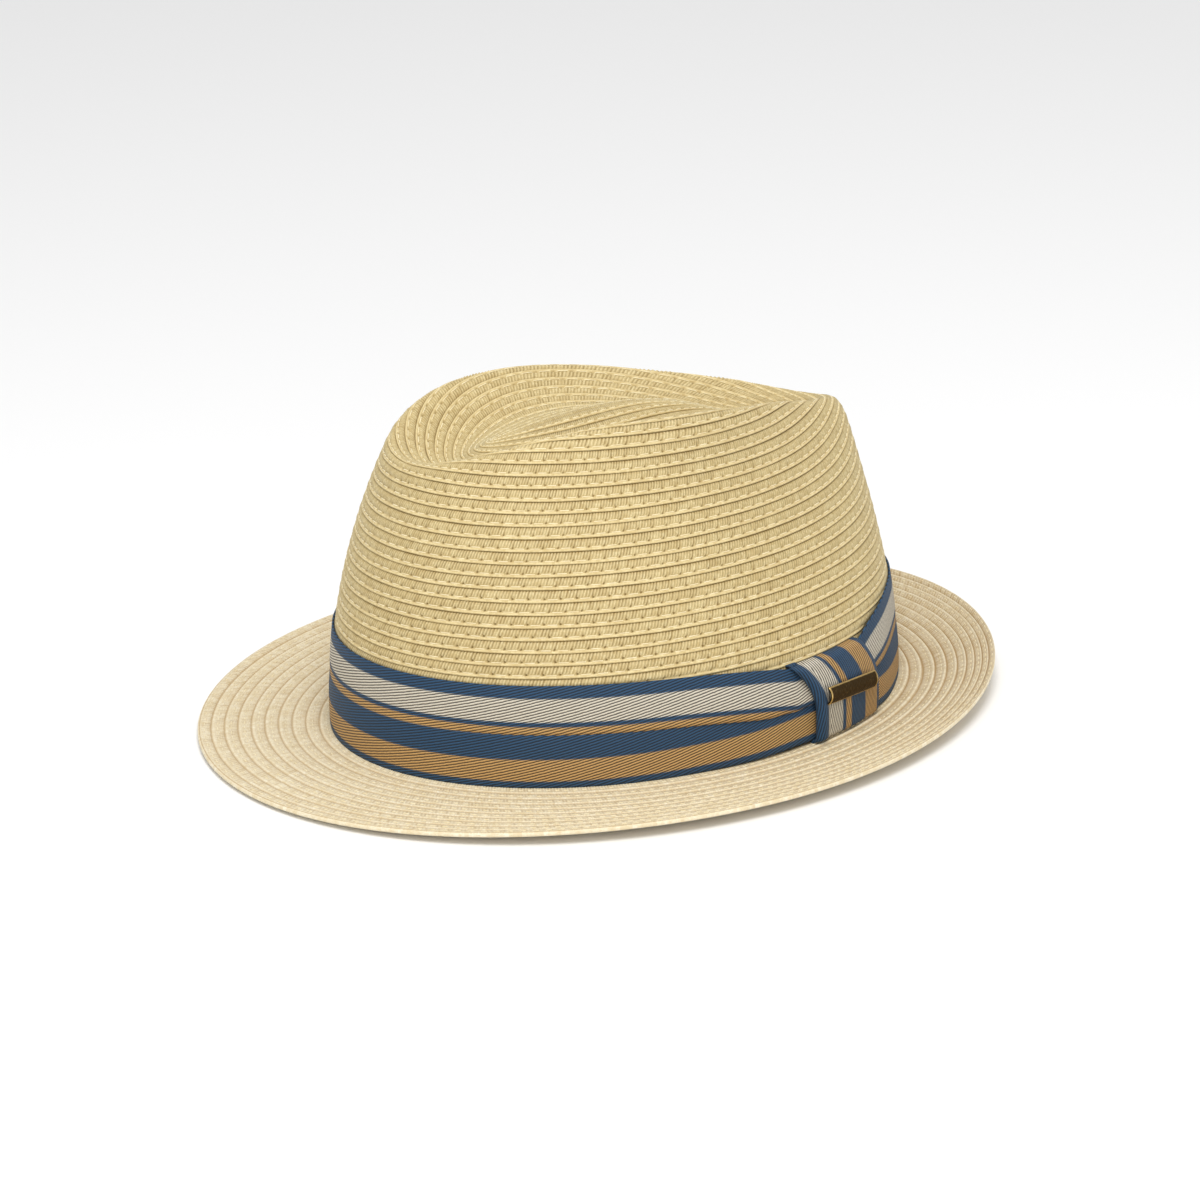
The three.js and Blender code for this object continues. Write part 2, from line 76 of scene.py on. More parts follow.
# The crease ring on top of the crown, and the dished top inside it.
RIM_HALF_LENGTH = 88.0
RIM_HALF_WIDTH = 33.0
RIM_BACK_SHIFT = 12.8
RIM_FRONT_FULLNESS = 0.64
RIM_WAIST = -0.12
RIM_HEIGHT = 106.5
RIM_FRONT_LIFT = 5.3
RIM_END_DROP = 5.8
RIM_NOSE_DIP = 2.2
SHOULDER_INWARD = 0.14
SHOULDER_DROP = 2.6
TROUGH_INWARD = 0.55
TROUGH_DEPTH = 7.0
RIDGE_SIDE_INWARD = 0.84
RIDGE_SIDE_DROP = 1.6
RIDGE_HEIGHT = 108.0
RIDGE_END_DROP = 7.5
RIDGE_BACK_DROP = 3.5
RIDGE_HALF_LENGTH = 43.0
RIDGE_BACK_SHIFT = 5.0

BRIM_BACK_WIDTH = BRIM_HIGH[1] - CROWN_HIGH[1] + CROWN_THICKNESS
BRIM_FRONT_WIDTH = CROWN_LOW[1] - BRIM_LOW[1] + CROWN_THICKNESS
BRIM_WIDTH = (BRIM_FRONT_WIDTH + BRIM_BACK_WIDTH) / 2
BRIM_FRONT_EXTRA = (BRIM_FRONT_WIDTH - BRIM_BACK_WIDTH) / 2
BRIM_THICKNESS = 1.8
BRIM_SEAT_WIDTH = 7.0
BRIM_RISE = 4.8
BRIM_BACK_RISE = 3.9
BRIM_RISE_WAVES = (0.7, -1.0)
BRIM_CURVE_POWER = 1.8

RIBBON_WIDTH = 36.0
BAND_FOOT = CROWN_FOOT
BAND_HEAD = BAND_FOOT + RIBBON_WIDTH
BAND_TOP_DIP = 7.5
BAND_FOOT_LIFT = 1.4
KEEPER_ANGLE = math.radians(112)
KEEPER_FLAT_REACH = math.radians(17)
BAND_DIP_START = math.radians(10)
BAND_DIP_FADE_FRONT = math.radians(16)
BAND_DIP_FADE_BACK = math.radians(9)
BAND_LIFT_REACH = math.radians(34)
GAP = 0.3
KEEPER_PLY = 0.9
FOOT_SAMPLES = 4001
SMALL_TURN = 0.01


# ---- small numeric helpers
def smoothstep(x):
    x = np.clip(x, 0, 1)
    return x * x * (3 - 2 * x)


def unit(v):
    return v / np.maximum(np.linalg.norm(v, axis=-1, keepdims=True), 1e-12)


def lerp(a, b, share):
    return a + (b - a) * share


def stack(x, y, z):
    return np.stack(np.broadcast_arrays(x, y, z), axis=-1).astype(float)


def with_height(points, z):
    return stack(points[..., 0], points[..., 1], z)


def running_length(line):
    """The distance along a line of points, from the first to each."""
    steps = np.linalg.norm(np.diff(line, axis=0), axis=-1)
    return np.concatenate([[0], np.cumsum(steps)])


# ---- the hat's surfaces
def foot_point(angle):
    x = CROWN_HALF_WIDTH * np.sin(angle)
    y = CROWN_BACK_SHIFT - CROWN_HALF_LENGTH * np.cos(angle)
    return stack(x, y, CROWN_FOOT)


def outward(angle):
    """The level direction straight out of the wall."""
    return unit(stack(np.sin(angle) / CROWN_HALF_WIDTH, -np.cos(angle) / CROWN_HALF_LENGTH, 0))


def rim_point(angle):
    c = np.cos(angle)
    fullness = 1 + RIM_FRONT_FULLNESS * c + RIM_WAIST * np.cos(2 * angle)
    lift = RIM_FRONT_LIFT * c - RIM_END_DROP * np.cos(2 * angle) - RIM_NOSE_DIP * np.cos(3 * angle)
    x = RIM_HALF_WIDTH * np.sin(angle) * fullness
    return stack(x, RIM_BACK_SHIFT - RIM_HALF_LENGTH * c, RIM_HEIGHT + lift)


def ridge_point(angle):
    along = -np.cos(angle)
    height = RIDGE_HEIGHT - along**2 * (RIDGE_END_DROP + RIDGE_BACK_DROP * along)
    return stack(0.0, RIDGE_BACK_SHIFT + RIDGE_HALF_LENGTH * along, height)


def wall_point(angle, share):
    foot, rim = foot_point(angle), rim_point(angle)
    power = lerp(WALL_CURVE_SIDE, WALL_CURVE_ENDS, np.cos(angle) ** 2)
    lean = (share**power)[..., None]
    return with_height(lerp(foot, rim, lean), lerp(foot[..., 2], rim[..., 2], share))


def wall_at_height(angle, height):
    angle, height = np.broadcast_arrays(angle, height)
    share = np.maximum(height - CROWN_FOOT, 0) / (rim_point(angle)[..., 2] - CROWN_FOOT)
    return wall_point(angle, share)


def off_wall(angle, height, out):
    """A point a level distance out from the wall's face."""
    base = with_height(wall_at_height(angle, height), height)
    return base + outward(angle) * np.asarray(out)[..., None]


def crown_knots(angle):
    rim, ridge = rim_point(angle), ridge_point(angle)
    shoulder = with_height(lerp(rim, ridge, SHOULDER_INWARD), rim[:, 2] - SHOULDER_DROP)
    trough_height = (rim[:, 2] + ridge[:, 2]) / 2 - TROUGH_DEPTH
    trough = with_height(lerp(rim, ridge, TROUGH_INWARD), trough_height)
    ridge_side = with_height(lerp(rim, ridge, RIDGE_SIDE_INWARD), ridge[:, 2] - RIDGE_SIDE_DROP)
    wall = [wall_point(angle, np.full_like(angle, share)) for share in WALL_SHARES]
    return np.stack([*wall, rim, shoulder, trough, ridge_side, ridge], axis=1)


def spline(knots, per_span):
    """Centripetal splines through knots of shape (columns, knots, 3)."""
    first = 2 * knots[:, 0] - knots[:, 1]
    last = 2 * knots[:, -1] - knots[:, -2]
    p = np.concatenate([first[:, None], knots, last[:, None]], axis=1)
    t = np.linspace(0, 1, per_span, endpoint=False)[None, :, None]
    spans = []
    for k in range(knots.shape[1] - 1):
        p0, p1, p2, p3 = (p[:, k + i] for i in range(4))
        pairs = ((p0, p1), (p1, p2), (p2, p3))
        d0, d1, d2 = (np.sqrt(np.linalg.norm(b - a, axis=-1, keepdims=True)) for a, b in pairs)
        t1 = ((p1 - p0) / d0 - (p2 - p0) / (d0 + d1) + (p2 - p1) / d1) * d1
        t2 = ((p2 - p1) / d1 - (p3 - p1) / (d1 + d2) + (p3 - p2) / d2) * d1
        c2 = -3 * p1 + 3 * p2 - 2 * t1 - t2
        c3 = 2 * p1 - 2 * p2 + t1 + t2
        spans.append(p1[:, None] + t1[:, None] * t + c2[:, None] * t**2 + c3[:, None] * t**3)
    return np.concatenate([*spans, knots[:, -1:]], axis=1)


def even_angles(count):
    """Angles that are evenly spaced along the foot of the crown."""
    fine = np.linspace(0, 2 * np.pi, FOOT_SAMPLES)
    along = running_length(foot_point(fine))
    return np.interp(np.arange(count) / count * along[-1], along, fine)


# ---- crown rows
CROWN_ROWS = 39
ROW_PITCH = 4.22
SPAN_SAMPLES = 20
RIM_KNOT = len(WALL_SHARES)
MERIDIAN_SAMPLES = 300
SIDE_SOFTNESS = 3.5
NOSE_SOFTNESS = 6.0
TIP_SOFTNESS = 15.0
END_ZONE = 0.55
STEEPNESS_RANGE = (0.4, 1.6)
FOOT_CLEARANCE = (0.2, 0.3)
MIRROR = np.array([-1.0, 1.0, 1.0])


def smoothing_matrix(count, reach):
    """Averages each sample with its neighbours. Past the last sample come the mirrored ones."""
    sample = np.arange(count)[:, None]
    direct = np.exp(-((sample - np.arange(count)[None]) ** 2) / (2 * reach**2))
    mirrored = np.exp(-((sample - (2 * (count - 1) - np.arange(count)[None])) ** 2) / (2 * reach**2))
    mirrored[:, -1] = 0
    total = (direct + mirrored).sum(axis=1)
    return direct / total[:, None], mirrored / total[:, None]


def smoothed(line, reach):
    direct, mirrored = smoothing_matrix(line.shape[1], reach)
    return np.einsum("ij,cjk->cik", direct, line) + np.einsum("ij,cjk->cik", mirrored, line * MIRROR)


def soften(line, angles):
    """Rounds the crest, the trough and the ridge. The back tip is rounded the most, and the nose next."""
    forward = np.cos(angles)
    round_all = smoothed(line, SIDE_SOFTNESS)
    for facing, softness in ((forward, NOSE_SOFTNESS), (-forward, TIP_SOFTNESS)):
        at_end = smoothstep((facing - END_ZONE) / (1 - END_ZONE))[:, None, None]
        round_all = lerp(round_all, smoothed(line, softness), at_end)
    share = np.linspace(0, 1, line.shape[1])
    start, full = FOOT_CLEARANCE
    clear_of_foot = smoothstep((share - start) / (full - start))[None, :, None]
    return lerp(line, round_all, clear_of_foot)


def evenly_spaced(line, arc):
    """The same meridians with their samples a constant distance apart."""
    share = np.linspace(0, 1, MERIDIAN_SAMPLES)
    even = np.empty((len(line), MERIDIAN_SAMPLES, 3))
    for c in range(len(line)):
        for axis in range(3):
            even[c, :, axis] = np.interp(share * arc[c, -1], arc[c], line[c, :, axis])
    return even


def crown_sampler(angles):
    """Returns a function from row coordinates, of shape (samples, columns), to points on the crown."""
    line = spline(crown_knots(angles), SPAN_SAMPLES)
    steps = np.linalg.norm(np.diff(line, axis=1), axis=2)
    arc = np.concatenate([np.zeros((len(angles), 1)), np.cumsum(steps, axis=1)], axis=1)
    total, at_rim = arc[:, -1], arc[:, RIM_KNOT * SPAN_SAMPLES]
    even = soften(evenly_spaced(line, arc), angles)
    rim_row = at_rim / ROW_PITCH
    left = CROWN_ROWS - rim_row
    steepness = np.clip((total - at_rim) / ROW_PITCH / left, *STEEPNESS_RANGE)
    column = np.arange(len(angles))[None]

    def sample(v):
        inside = np.clip((v - rim_row) / left, 0, 1)
        share = 2 * inside / (steepness + np.sqrt(steepness**2 + 4 * (1 - steepness) * inside))
        along = np.where(v <= rim_row, v * ROW_PITCH, at_rim + (total - at_rim) * share)
        place = np.clip(along / total, 0, 1) * (MERIDIAN_SAMPLES - 1)
        base = np.minimum(np.floor(place).astype(int), MERIDIAN_SAMPLES - 2)
        return lerp(even[column, base], even[column, base + 1], (place - base)[..., None])

    return sample


def surface_normals(sample, v):
    """The points at row coordinates v, and the directions square to the crown there."""
    along = sample(v + NORMAL_REACH) - sample(v - NORMAL_REACH)
    points = sample(v)
    around = np.roll(points, -NORMAL_COLUMNS, axis=1) - np.roll(points, NORMAL_COLUMNS, axis=1)
    return points, unit(np.cross(around, along))


# A row's section: share of the row up from its lower edge, height in mm, and painted shade: under the lip, in
# the stitch groove, where it tucks under the next row, a little on the bead.
ROW_SECTION = (
    (0.045, -0.6, 0.7), (-0.035, -0.12, 0.45), (-0.04, 0.3, 0.2), (0.015, 0.52, 0.08),
    (0.085, 0.56, 0.1), (0.155, 0.4, 0.16), (0.23, 0.1, 0.4), (0.3, 0.16, 0.25),
    (0.4, 0.36, 0.0), (0.62, 0.34, 0.0), (0.83, 0.14, 0.12), (0.95, -0.28, 0.7),
)
STITCH_SECTION = 6
STITCH_SHARE = ROW_SECTION[STITCH_SECTION][0]
RIB_ZONE = (0.26, 0.38, 0.92, 1.0)
RIB_HEIGHT = 0.28
RIB_SHADE = 0.75
RIB_SLANT = 2.6
NORMAL_REACH = 0.15
NORMAL_COLUMNS = 3
FULL_RELIEF_PITCH = 3.8
LEAST_RELIEF = 0.2
COLUMNS_PER_STITCH = 10
HOLE_DEPTH = 0.8
HOLE_SHADE = 0.8
HOLE_REACH = 0.075
STRAND_SPREAD = (0.65, 1.25)
CROWN_WOBBLE = 0.02
WOBBLE_WAVES = (3, 5, 8, 13, 21)
BAND_COVER_MARGIN = 3.0
COVER_FADE = 1.5
COVERED_RELIEF = 0.1
COVERED_SINK = 0.35


def rib_strength(share):
    """One across the ribbed part of a row, falling to nothing on the bead and under the next row."""
    low, full, fading, gone = RIB_ZONE
    return smoothstep((share - low) / (full - low)) * smoothstep((gone - share) / (gone - fading))


def shifted(values, columns):
    """Slides each sample round the hat by its own number of columns, which needn't be whole."""
    count = values.shape[1]
    base = np.floor(columns).astype(int)
    part = (columns - base).reshape(-1, *([1] * (values.ndim - 1)))
    here = (np.arange(count)[None] + base[:, None]) % count
    rows = np.arange(len(values))[:, None]
    return lerp(values[rows, here], values[rows, (here + 1) % count], part)


def row_wobble(angles, size):
    """Slow waves in a row's path, in rows."""
    return size * sum(np.sin(n * angles + random.uniform(0, 2 * np.pi)) / n**0.5 for n in WOBBLE_WAVES)


def alternate(columns):
    """One on even columns and minus one on odd ones: the ribs of the braid and the grooves between them."""
    return np.where(np.arange(columns) % 2 == 0, 1.0, -1.0)


def row_relief(first, last, angles):
    """Each sample's row coordinates, height, shade and slide, and where each row's stitches go in."""
    columns = len(angles)
    v, height, depth, slide, v_plain, holes = [], [], [], [], [], []
    column = np.arange(columns)
    rib = alternate(columns)
    wobbles = {row: row_wobble(angles, CROWN_WOBBLE) for row in range(first, last + 1)}
    for row in range(first, last + 1):
        section = ROW_SECTION if row < last else ROW_SECTION[:1]
        hole_at = random.integers(COLUMNS_PER_STITCH)
        strand = random.uniform(*STRAND_SPREAD, columns)
        phase = random.uniform(0, 2)
        holes.append(hole_at)
        for share, up, shade in section:
            strength = rib_strength(share)
            hole = (column % COLUMNS_PER_STITCH == hole_at) & (abs(share - STITCH_SHARE) < HOLE_REACH)
            v.append(np.minimum(row + share + wobbles[row], CROWN_ROWS))
            height.append(up + RIB_HEIGHT * strength * rib * strand - HOLE_DEPTH * hole)
            # Painted shade: the section's, and more in the grooves between the ribs and in the stitch holes.
            shaded = shade + RIB_SHADE * strength * (rib < 0) * strand + HOLE_SHADE * hole
            depth.append(np.clip(shaded, 0, 1))
            slide.append(phase + RIB_SLANT * (share - 0.5))
            v_plain.append(row + share)
    return *(np.array(x) for x in (v, height, depth, slide, v_plain)), holes


def crown_rows(first, last, columns):
    """The points of rows first to last, with what their stitches, UV and shade need."""
    angles = even_angles(columns)
    sample = crown_sampler(angles)
    v, height, depth, slide, v_plain, holes = row_relief(first, last, angles)
    points, normals = surface_normals(sample, v)
    pitch = np.linalg.norm(sample(v + 0.5) - sample(v - 0.5), axis=-1)
    relief = np.clip(pitch / FULL_RELIEF_PITCH, LEAST_RELIEF, 1)
    height, depth = height * relief, depth * relief**0.5
    points, normals = shifted(points, slide), shifted(normals, slide)
    # Under the band the rows sink and flatten, and lose their painted shade.
    bare = smoothstep((points[..., 2] - band_head(angles)[None] + BAND_COVER_MARGIN) / COVER_FADE)
    height = lerp(height * COVERED_RELIEF - COVERED_SINK, height, bare)
    points = points + normals * height[..., None]
    return points, normals, slide, v_plain, depth * bare, holes


def from_keeper(angle):
    return np.arctan2(np.sin(angle - KEEPER_ANGLE), np.cos(angle - KEEPER_ANGLE))


def near_keeper(angle, reach):
    away = np.abs(from_keeper(angle))
    return smoothstep((reach - away) / (reach - KEEPER_FLAT_REACH))


def gathered(angle):
    """How much the keeper gathers the band: one under it, fading away on both sides."""
    away = from_keeper(angle)
    fade = np.where(away < 0, BAND_DIP_FADE_FRONT, BAND_DIP_FADE_BACK)
    return np.exp(-np.maximum(np.abs(away) - BAND_DIP_START, 0) / fade)


# ---- mesh making
def link_object(name, data):
    placed = bpy.data.objects.new(name, data)
    bpy.context.scene.collection.objects.link(placed)
    return placed


def grid_quads(samples, columns, round_closed, section_closed, flip):
    """Corner indices of the quads of a grid, and each corner's own sample and column for its UV."""
    r = np.arange(samples if section_closed else samples - 1)
    c = np.arange(columns if round_closed else columns - 1)
    rr, cc = np.meshgrid(r, c, indexing="ij")
    corners = [(0, 0), (0, 1), (1, 1), (1, 0)]
    if flip:
        corners.reverse()
    rows = np.stack([rr + dr for dr, _ in corners], axis=-1).reshape(-1, 4)
    cols = np.stack([cc + dc for _, dc in corners], axis=-1).reshape(-1, 4)
    index = (rows % samples) * columns + cols % columns
    return index, rows, cols


def new_object(name, points, quads, material, slot=None):
    mesh = bpy.data.meshes.new(name)
    mesh.vertices.add(len(points))
    mesh.vertices.foreach_set("co", (points * MM).astype(np.float32).ravel())
    mesh.loops.add(quads.size)
    mesh.loops.foreach_set("vertex_index", quads.astype(np.int32).ravel())
    mesh.polygons.add(len(quads))
    mesh.polygons.foreach_set("loop_start", np.arange(0, quads.size, 4, dtype=np.int32))
    mesh.update(calc_edges=True)
    mesh.shade_smooth()
    mesh.materials.append(material)
    piece = link_object(name, mesh)
    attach(piece, CAD_BODY)
    return piece


def grid_object(
    name, points, uv, material, slot, depth=None, round_closed=True, section_closed=False, flip=False
):
    """A smooth mesh over a grid of points. uv is a function of each face corner's sample and column."""
    samples, columns = points.shape[:2]
    quads, rows, cols = grid_quads(samples, columns, round_closed, section_closed, flip)
    piece = new_object(name, points.reshape(-1, 3), quads, material, slot)
    layer = piece.data.uv_layers.new(name="UVMap")
    u, v = uv(rows, cols)
    layer.data.foreach_set("uv", np.stack([u, v], axis=-1).astype(np.float32).ravel())
    if depth is not None:
        attribute = piece.data.attributes.new("depth", "FLOAT", "POINT")
        attribute.data.foreach_set("value", depth.astype(np.float32).ravel())
    return piece


def thicken(piece, thickness):
    """Gives a sheet its thickness, inwards from the face that was made."""
    solid = piece.modifiers.new("thickness", "SOLIDIFY")
    solid.thickness = thickness * MM
    solid.offset = -1
    return piece


# ---- node materials
def add_node(tree, kind, inputs=None, **settings):
    node = tree.nodes.new(kind)
    for key, value in settings.items():
        setattr(node, key, value)
    for key, value in (inputs or {}).items():
        if isinstance(value, bpy.types.NodeSocket):
            tree.links.new(value, node.inputs[key])
        else:
            node.inputs[key].default_value = value
    return node


def calc(tree, operation, *values):
    inputs = dict(enumerate(values))
    return add_node(tree, "ShaderNodeMath", inputs, operation=operation).outputs[0]


def rescale(tree, value, low, high, to_low, to_high):
    inputs = {"Value": value, "From Min": low, "From Max": high, "To Min": to_low, "To Max": to_high}
    return add_node(tree, "ShaderNodeMapRange", inputs).outputs[0]


def blend_colours(tree, factor, a, b, blend_type="MIX"):
    inputs = {0: factor, 6: a, 7: b}
    return add_node(tree, "ShaderNodeMix", inputs, data_type="RGBA", blend_type=blend_type).outputs[2]


def noise(tree, vector, scale, detail=3.0, roughness=0.55):
    inputs = {"Vector": vector, "Scale": scale, "Detail": detail, "Roughness": roughness}
    return add_node(tree, "ShaderNodeTexNoise", inputs).outputs[0]


def vector_of(tree, x, y, z=0.0):
    return add_node(tree, "ShaderNodeCombineXYZ", {0: x, 1: y, 2: z}).outputs[0]


def uv_axes(tree):
    uv = add_node(tree, "ShaderNodeUVMap", uv_map="UVMap").outputs[0]
    axes = add_node(tree, "ShaderNodeSeparateXYZ", {0: uv})
    return axes.outputs[0], axes.outputs[1]


def object_place(tree):
    return add_node(tree, "ShaderNodeTexCoord").outputs["Object"]


def stored_depth(tree):
    """How dark a point of the mesh is painted, 0 to 1: painted shade on the straw, patina on the badge."""
    return add_node(tree, "ShaderNodeAttribute", attribute_name="depth").outputs[2]


def bump(tree, height, strength, distance_mm, normal=None):
    inputs = {"Height": height, "Strength": strength, "Distance": distance_mm * MM}
    if normal:
        inputs["Normal"] = normal
    return add_node(tree, "ShaderNodeBump", inputs).outputs[0]


def new_material(name, roughness, **constants):
    material = bpy.data.materials.new(name)
    material.use_nodes = True
    shader = material.node_tree.nodes["Principled BSDF"]
    shader.inputs["Roughness"].default_value = roughness
    for key, value in constants.items():
        shader.inputs[key.replace("_", " ")].default_value = value
    return material, material.node_tree, shader


def feed(tree, shader, **sockets):
    for key, socket in sockets.items():
        tree.links.new(socket, shader.inputs[key.replace("_", " ")])


def rgb(red, green, blue):
    """A colour given as the eye sees it, 0 to 255, in the linear values that nodes take."""
    share = np.array([red, green, blue]) / 255
    linear = np.where(share <= 0.04045, share / 12.92, ((share + 0.055) / 1.055) ** 2.4)
    return (*linear, 1.0)


BEAD_EDGE = 0.06


def stretched_noise(tree, u, v, per_rib, per_row, detail):
    """Noise drawn out along or across the braid, with so many grains to a rib and to a row."""
    place = vector_of(tree, calc(tree, "MULTIPLY", u, per_rib), calc(tree, "MULTIPLY", v, per_row))
    return noise(tree, place, 1.0, detail, 0.7)


def straw_material(name, pale, warm, painted_shade, ribs_shown, bead_to):
    """Paper straw: strands of different tone, fine fibres, and painted shade where the braid is deep.

    The fibres run along the row up to the share bead_to of it, and across the row above that.
    """
    material, tree, shader = new_material(name, 0.62, Sheen_Weight=0.08)
    u, v = uv_axes(tree)
    strand_id = vector_of(tree, calc(tree, "FLOOR", u), calc(tree, "FLOOR", calc(tree, "MULTIPLY", v, 3.0)))
    strand = add_node(tree, "ShaderNodeTexWhiteNoise", {"Vector": strand_id}, noise_dimensions="2D")
    patches = noise(tree, object_place(tree), 150.0)
    across = stretched_noise(tree, u, v, 3.0, 3.0, 5.0)
    along = stretched_noise(tree, u, v, 0.6, 17.0, 5.0)
    up_row = calc(tree, "FRACT", calc(tree, "ADD", v, BEAD_EDGE))
    on_bead = rescale(tree, up_row, bead_to, bead_to + BEAD_EDGE, 1.0, 0.0)
    fibres = add_node(tree, "ShaderNodeMix", {0: on_bead, 2: across, 3: along}).outputs[0]
    tone = calc(tree, "MULTIPLY_ADD", strand.outputs[0], 0.45, calc(tree, "MULTIPLY", patches, 0.55))
    colour = blend_colours(tree, rescale(tree, tone, 0.2, 0.8, 0.0, 0.6), pale, warm)
    streak = rescale(tree, fibres, 0.4, 0.62, 0.0, 0.7)
    colour = blend_colours(tree, streak, colour, warm)
    # Painted shade: where the depth attribute is high, the colour goes towards the painted-shade colour.
    shade = calc(tree, "POWER", stored_depth(tree), 1.2)
    colour = blend_colours(tree, calc(tree, "MULTIPLY", shade, 0.9), colour, painted_shade)
    ribs = calc(tree, "PINGPONG", calc(tree, "MULTIPLY_ADD", v, 2.5, u), 0.5)
    relief = calc(tree, "MULTIPLY_ADD", fibres, 0.6, calc(tree, "MULTIPLY", ribs, ribs_shown))
    feed(tree, shader, Base_Color=colour, Normal=bump(tree, relief, 0.55, 0.35))
    feed(tree, shader, Roughness=rescale(tree, fibres, 0.3, 0.7, 0.52, 0.74))
    return material


STRIPE_TOTAL = 38.2
STRIPES = (
    (4.5, "blue"), (8.6, "cream"), (1.7, "blue"), (3.1, "tan"), (9.4, "blue"), (8.2, "tan"), (2.7, "blue"),
)
# Each yarn's own colour, and a darker copy of it that is painted as shade in the grooves of the twill.
YARN_AND_PAINTED_SHADE = {
    "blue": (rgb(31, 77, 114), rgb(4, 18, 32)),
    "cream": (rgb(226, 218, 200), rgb(66, 60, 52)),
    "tan": (rgb(210, 166, 102), rgb(60, 42, 20)),
}
TWILL_SPACING = 0.95
TWILL_SLOPE = math.radians(15)


def stripe_ramp(tree, position, shade_index):
    ramp = add_node(tree, "ShaderNodeValToRGB", {"Fac": position})
    ramp.color_ramp.interpolation = "CONSTANT"
    start = 0.0
    for index, (width, yarn) in enumerate(STRIPES):
        if index < 2:
            stop = ramp.color_ramp.elements[index]
            stop.position = start / STRIPE_TOTAL
        else:
            stop = ramp.color_ramp.elements.new(start / STRIPE_TOTAL)
        stop.color = YARN_AND_PAINTED_SHADE[yarn][shade_index]
        start += width
    return ramp.outputs[0]


def ribbon_material():
    """Striped twill, with painted shade in the grooves between its wales. The UV is in millimetres: u along
    the ribbon and v across it from its top edge.
    """
    material, tree, shader = new_material("ribbon_twill", 0.7, Sheen_Weight=0.04, Sheen_Roughness=0.45)
    u, v = uv_axes(tree)
    slant = calc(tree, "MULTIPLY", u, math.sin(TWILL_SLOPE))
    phase = calc(tree, "MULTIPLY_ADD", v, math.cos(TWILL_SLOPE), slant)
    phase = calc(tree, "DIVIDE", phase, TWILL_SPACING)
    wander = calc(tree, "MULTIPLY", noise(tree, vector_of(tree, u, v), 0.5), 0.35)
    phase = calc(tree, "ADD", phase, wander)
    rib = calc(tree, "MULTIPLY", calc(tree, "PINGPONG", phase, 0.5), 2.0)
    edge = calc(tree, "MULTIPLY_ADD", calc(tree, "FRACT", phase), TWILL_SPACING, -TWILL_SPACING / 2)
    position = calc(tree, "DIVIDE", calc(tree, "ADD", v, edge), RIBBON_WIDTH)
    position = calc(tree, "MINIMUM", calc(tree, "MAXIMUM", position, 0.001), 0.999)
    bright, dark = (stripe_ramp(tree, position, shade) for shade in (0, 1))
    grains = vector_of(tree, calc(tree, "MULTIPLY", u, 2.4), calc(tree, "MULTIPLY", v, 5.5))
    threads = noise(tree, grains, 1.0, 2.0)
    # Painted shade: in the grooves between the wales the colour goes to the darker copy.
    painted_shade = rescale(tree, rib, 0.2, 0.65, 1.0, 0.0)
    colour = blend_colours(tree, painted_shade, bright, dark)
    colour = blend_colours(tree, rescale(tree, threads, 0.35, 0.7, 0.0, 0.3), colour, dark)
    relief = calc(tree, "MULTIPLY_ADD", threads, 0.35, rib)
    feed(tree, shader, Base_Color=colour, Normal=bump(tree, relief, 0.9, 0.25))
    return material


def brass_material():
    """Antique brass: dark in the hollows and rubbed bright on the raised places."""
    material, tree, shader = new_material("antique_brass", 0.4, Metallic=1.0)
    where = object_place(tree)
    grain = noise(tree, where, 900.0, 4.0, 0.6)
    dimples = add_node(tree, "ShaderNodeTexVoronoi", {"Vector": where, "Scale": 800.0}).outputs[0]
    hollow = calc(tree, "MULTIPLY", stored_depth(tree), 0.9)
    worn = calc(tree, "ADD", rescale(tree, grain, 0.3, 0.7, 0.0, 0.35), hollow)
    dark = rescale(tree, worn, 0.1, 1.0, 0.0, 1.0)
    colour = blend_colours(tree, dark, rgb(214, 182, 118), rgb(70, 54, 30))
    relief = calc(tree, "MULTIPLY_ADD", grain, 0.5, dimples)
    feed(tree, shader, Base_Color=colour, Normal=bump(tree, relief, 0.25, 0.2))
    feed(tree, shader, Roughness=rescale(tree, worn, 0.0, 1.0, 0.28, 0.6))
    return material


def cloth_material(name, light, dark, spacing, roughness=0.85):
    """A plain weave, with painted shade where it dips between threads and patches of random tone. The UV is
    in millimetres.
    """
    material, tree, shader = new_material(name, roughness, Sheen_Weight=0.1)
    u, v = uv_axes(tree)
    warp = calc(tree, "PINGPONG", calc(tree, "DIVIDE", u, spacing), 0.5)
    weft = calc(tree, "PINGPONG", calc(tree, "DIVIDE", v, spacing), 0.5)
    weave = calc(tree, "ADD", warp, weft)
    patches = noise(tree, vector_of(tree, u, v), 0.3, 4.0)
    # Painted shade between the threads, and patches of random tone.
    tone = calc(tree, "MULTIPLY_ADD", patches, 0.5, calc(tree, "MULTIPLY", weave, 0.5))
    colour = blend_colours(tree, rescale(tree, tone, 0.3, 0.8, 1.0, 0.0), light, dark)
    feed(tree, shader, Base_Color=colour, Normal=bump(tree, weave, 0.5, 0.15))
    return material


def thread_material():
    material, tree, shader = new_material("cream_thread", 0.5, Sheen_Weight=0.2)
    tone = noise(tree, object_place(tree), 260.0)
    darker = rescale(tree, tone, 0.3, 0.7, 0.0, 1.0)
    colour = blend_colours(tree, darker, rgb(250, 240, 206), rgb(234, 218, 172))
    feed(tree, shader, Base_Color=colour, Normal=bump(tree, tone, 0.3, 0.1))
    return material


def wire_material():
    material, tree, shader = new_material("drawn_wire", 0.35, Metallic=1.0)
    streaks = noise(tree, object_place(tree), 400.0)
    colour = blend_colours(tree, streaks, rgb(150, 152, 155), rgb(120, 122, 126))
    feed(tree, shader, Base_Color=colour, Roughness=rescale(tree, streaks, 0.3, 0.7, 0.3, 0.45))
    return material


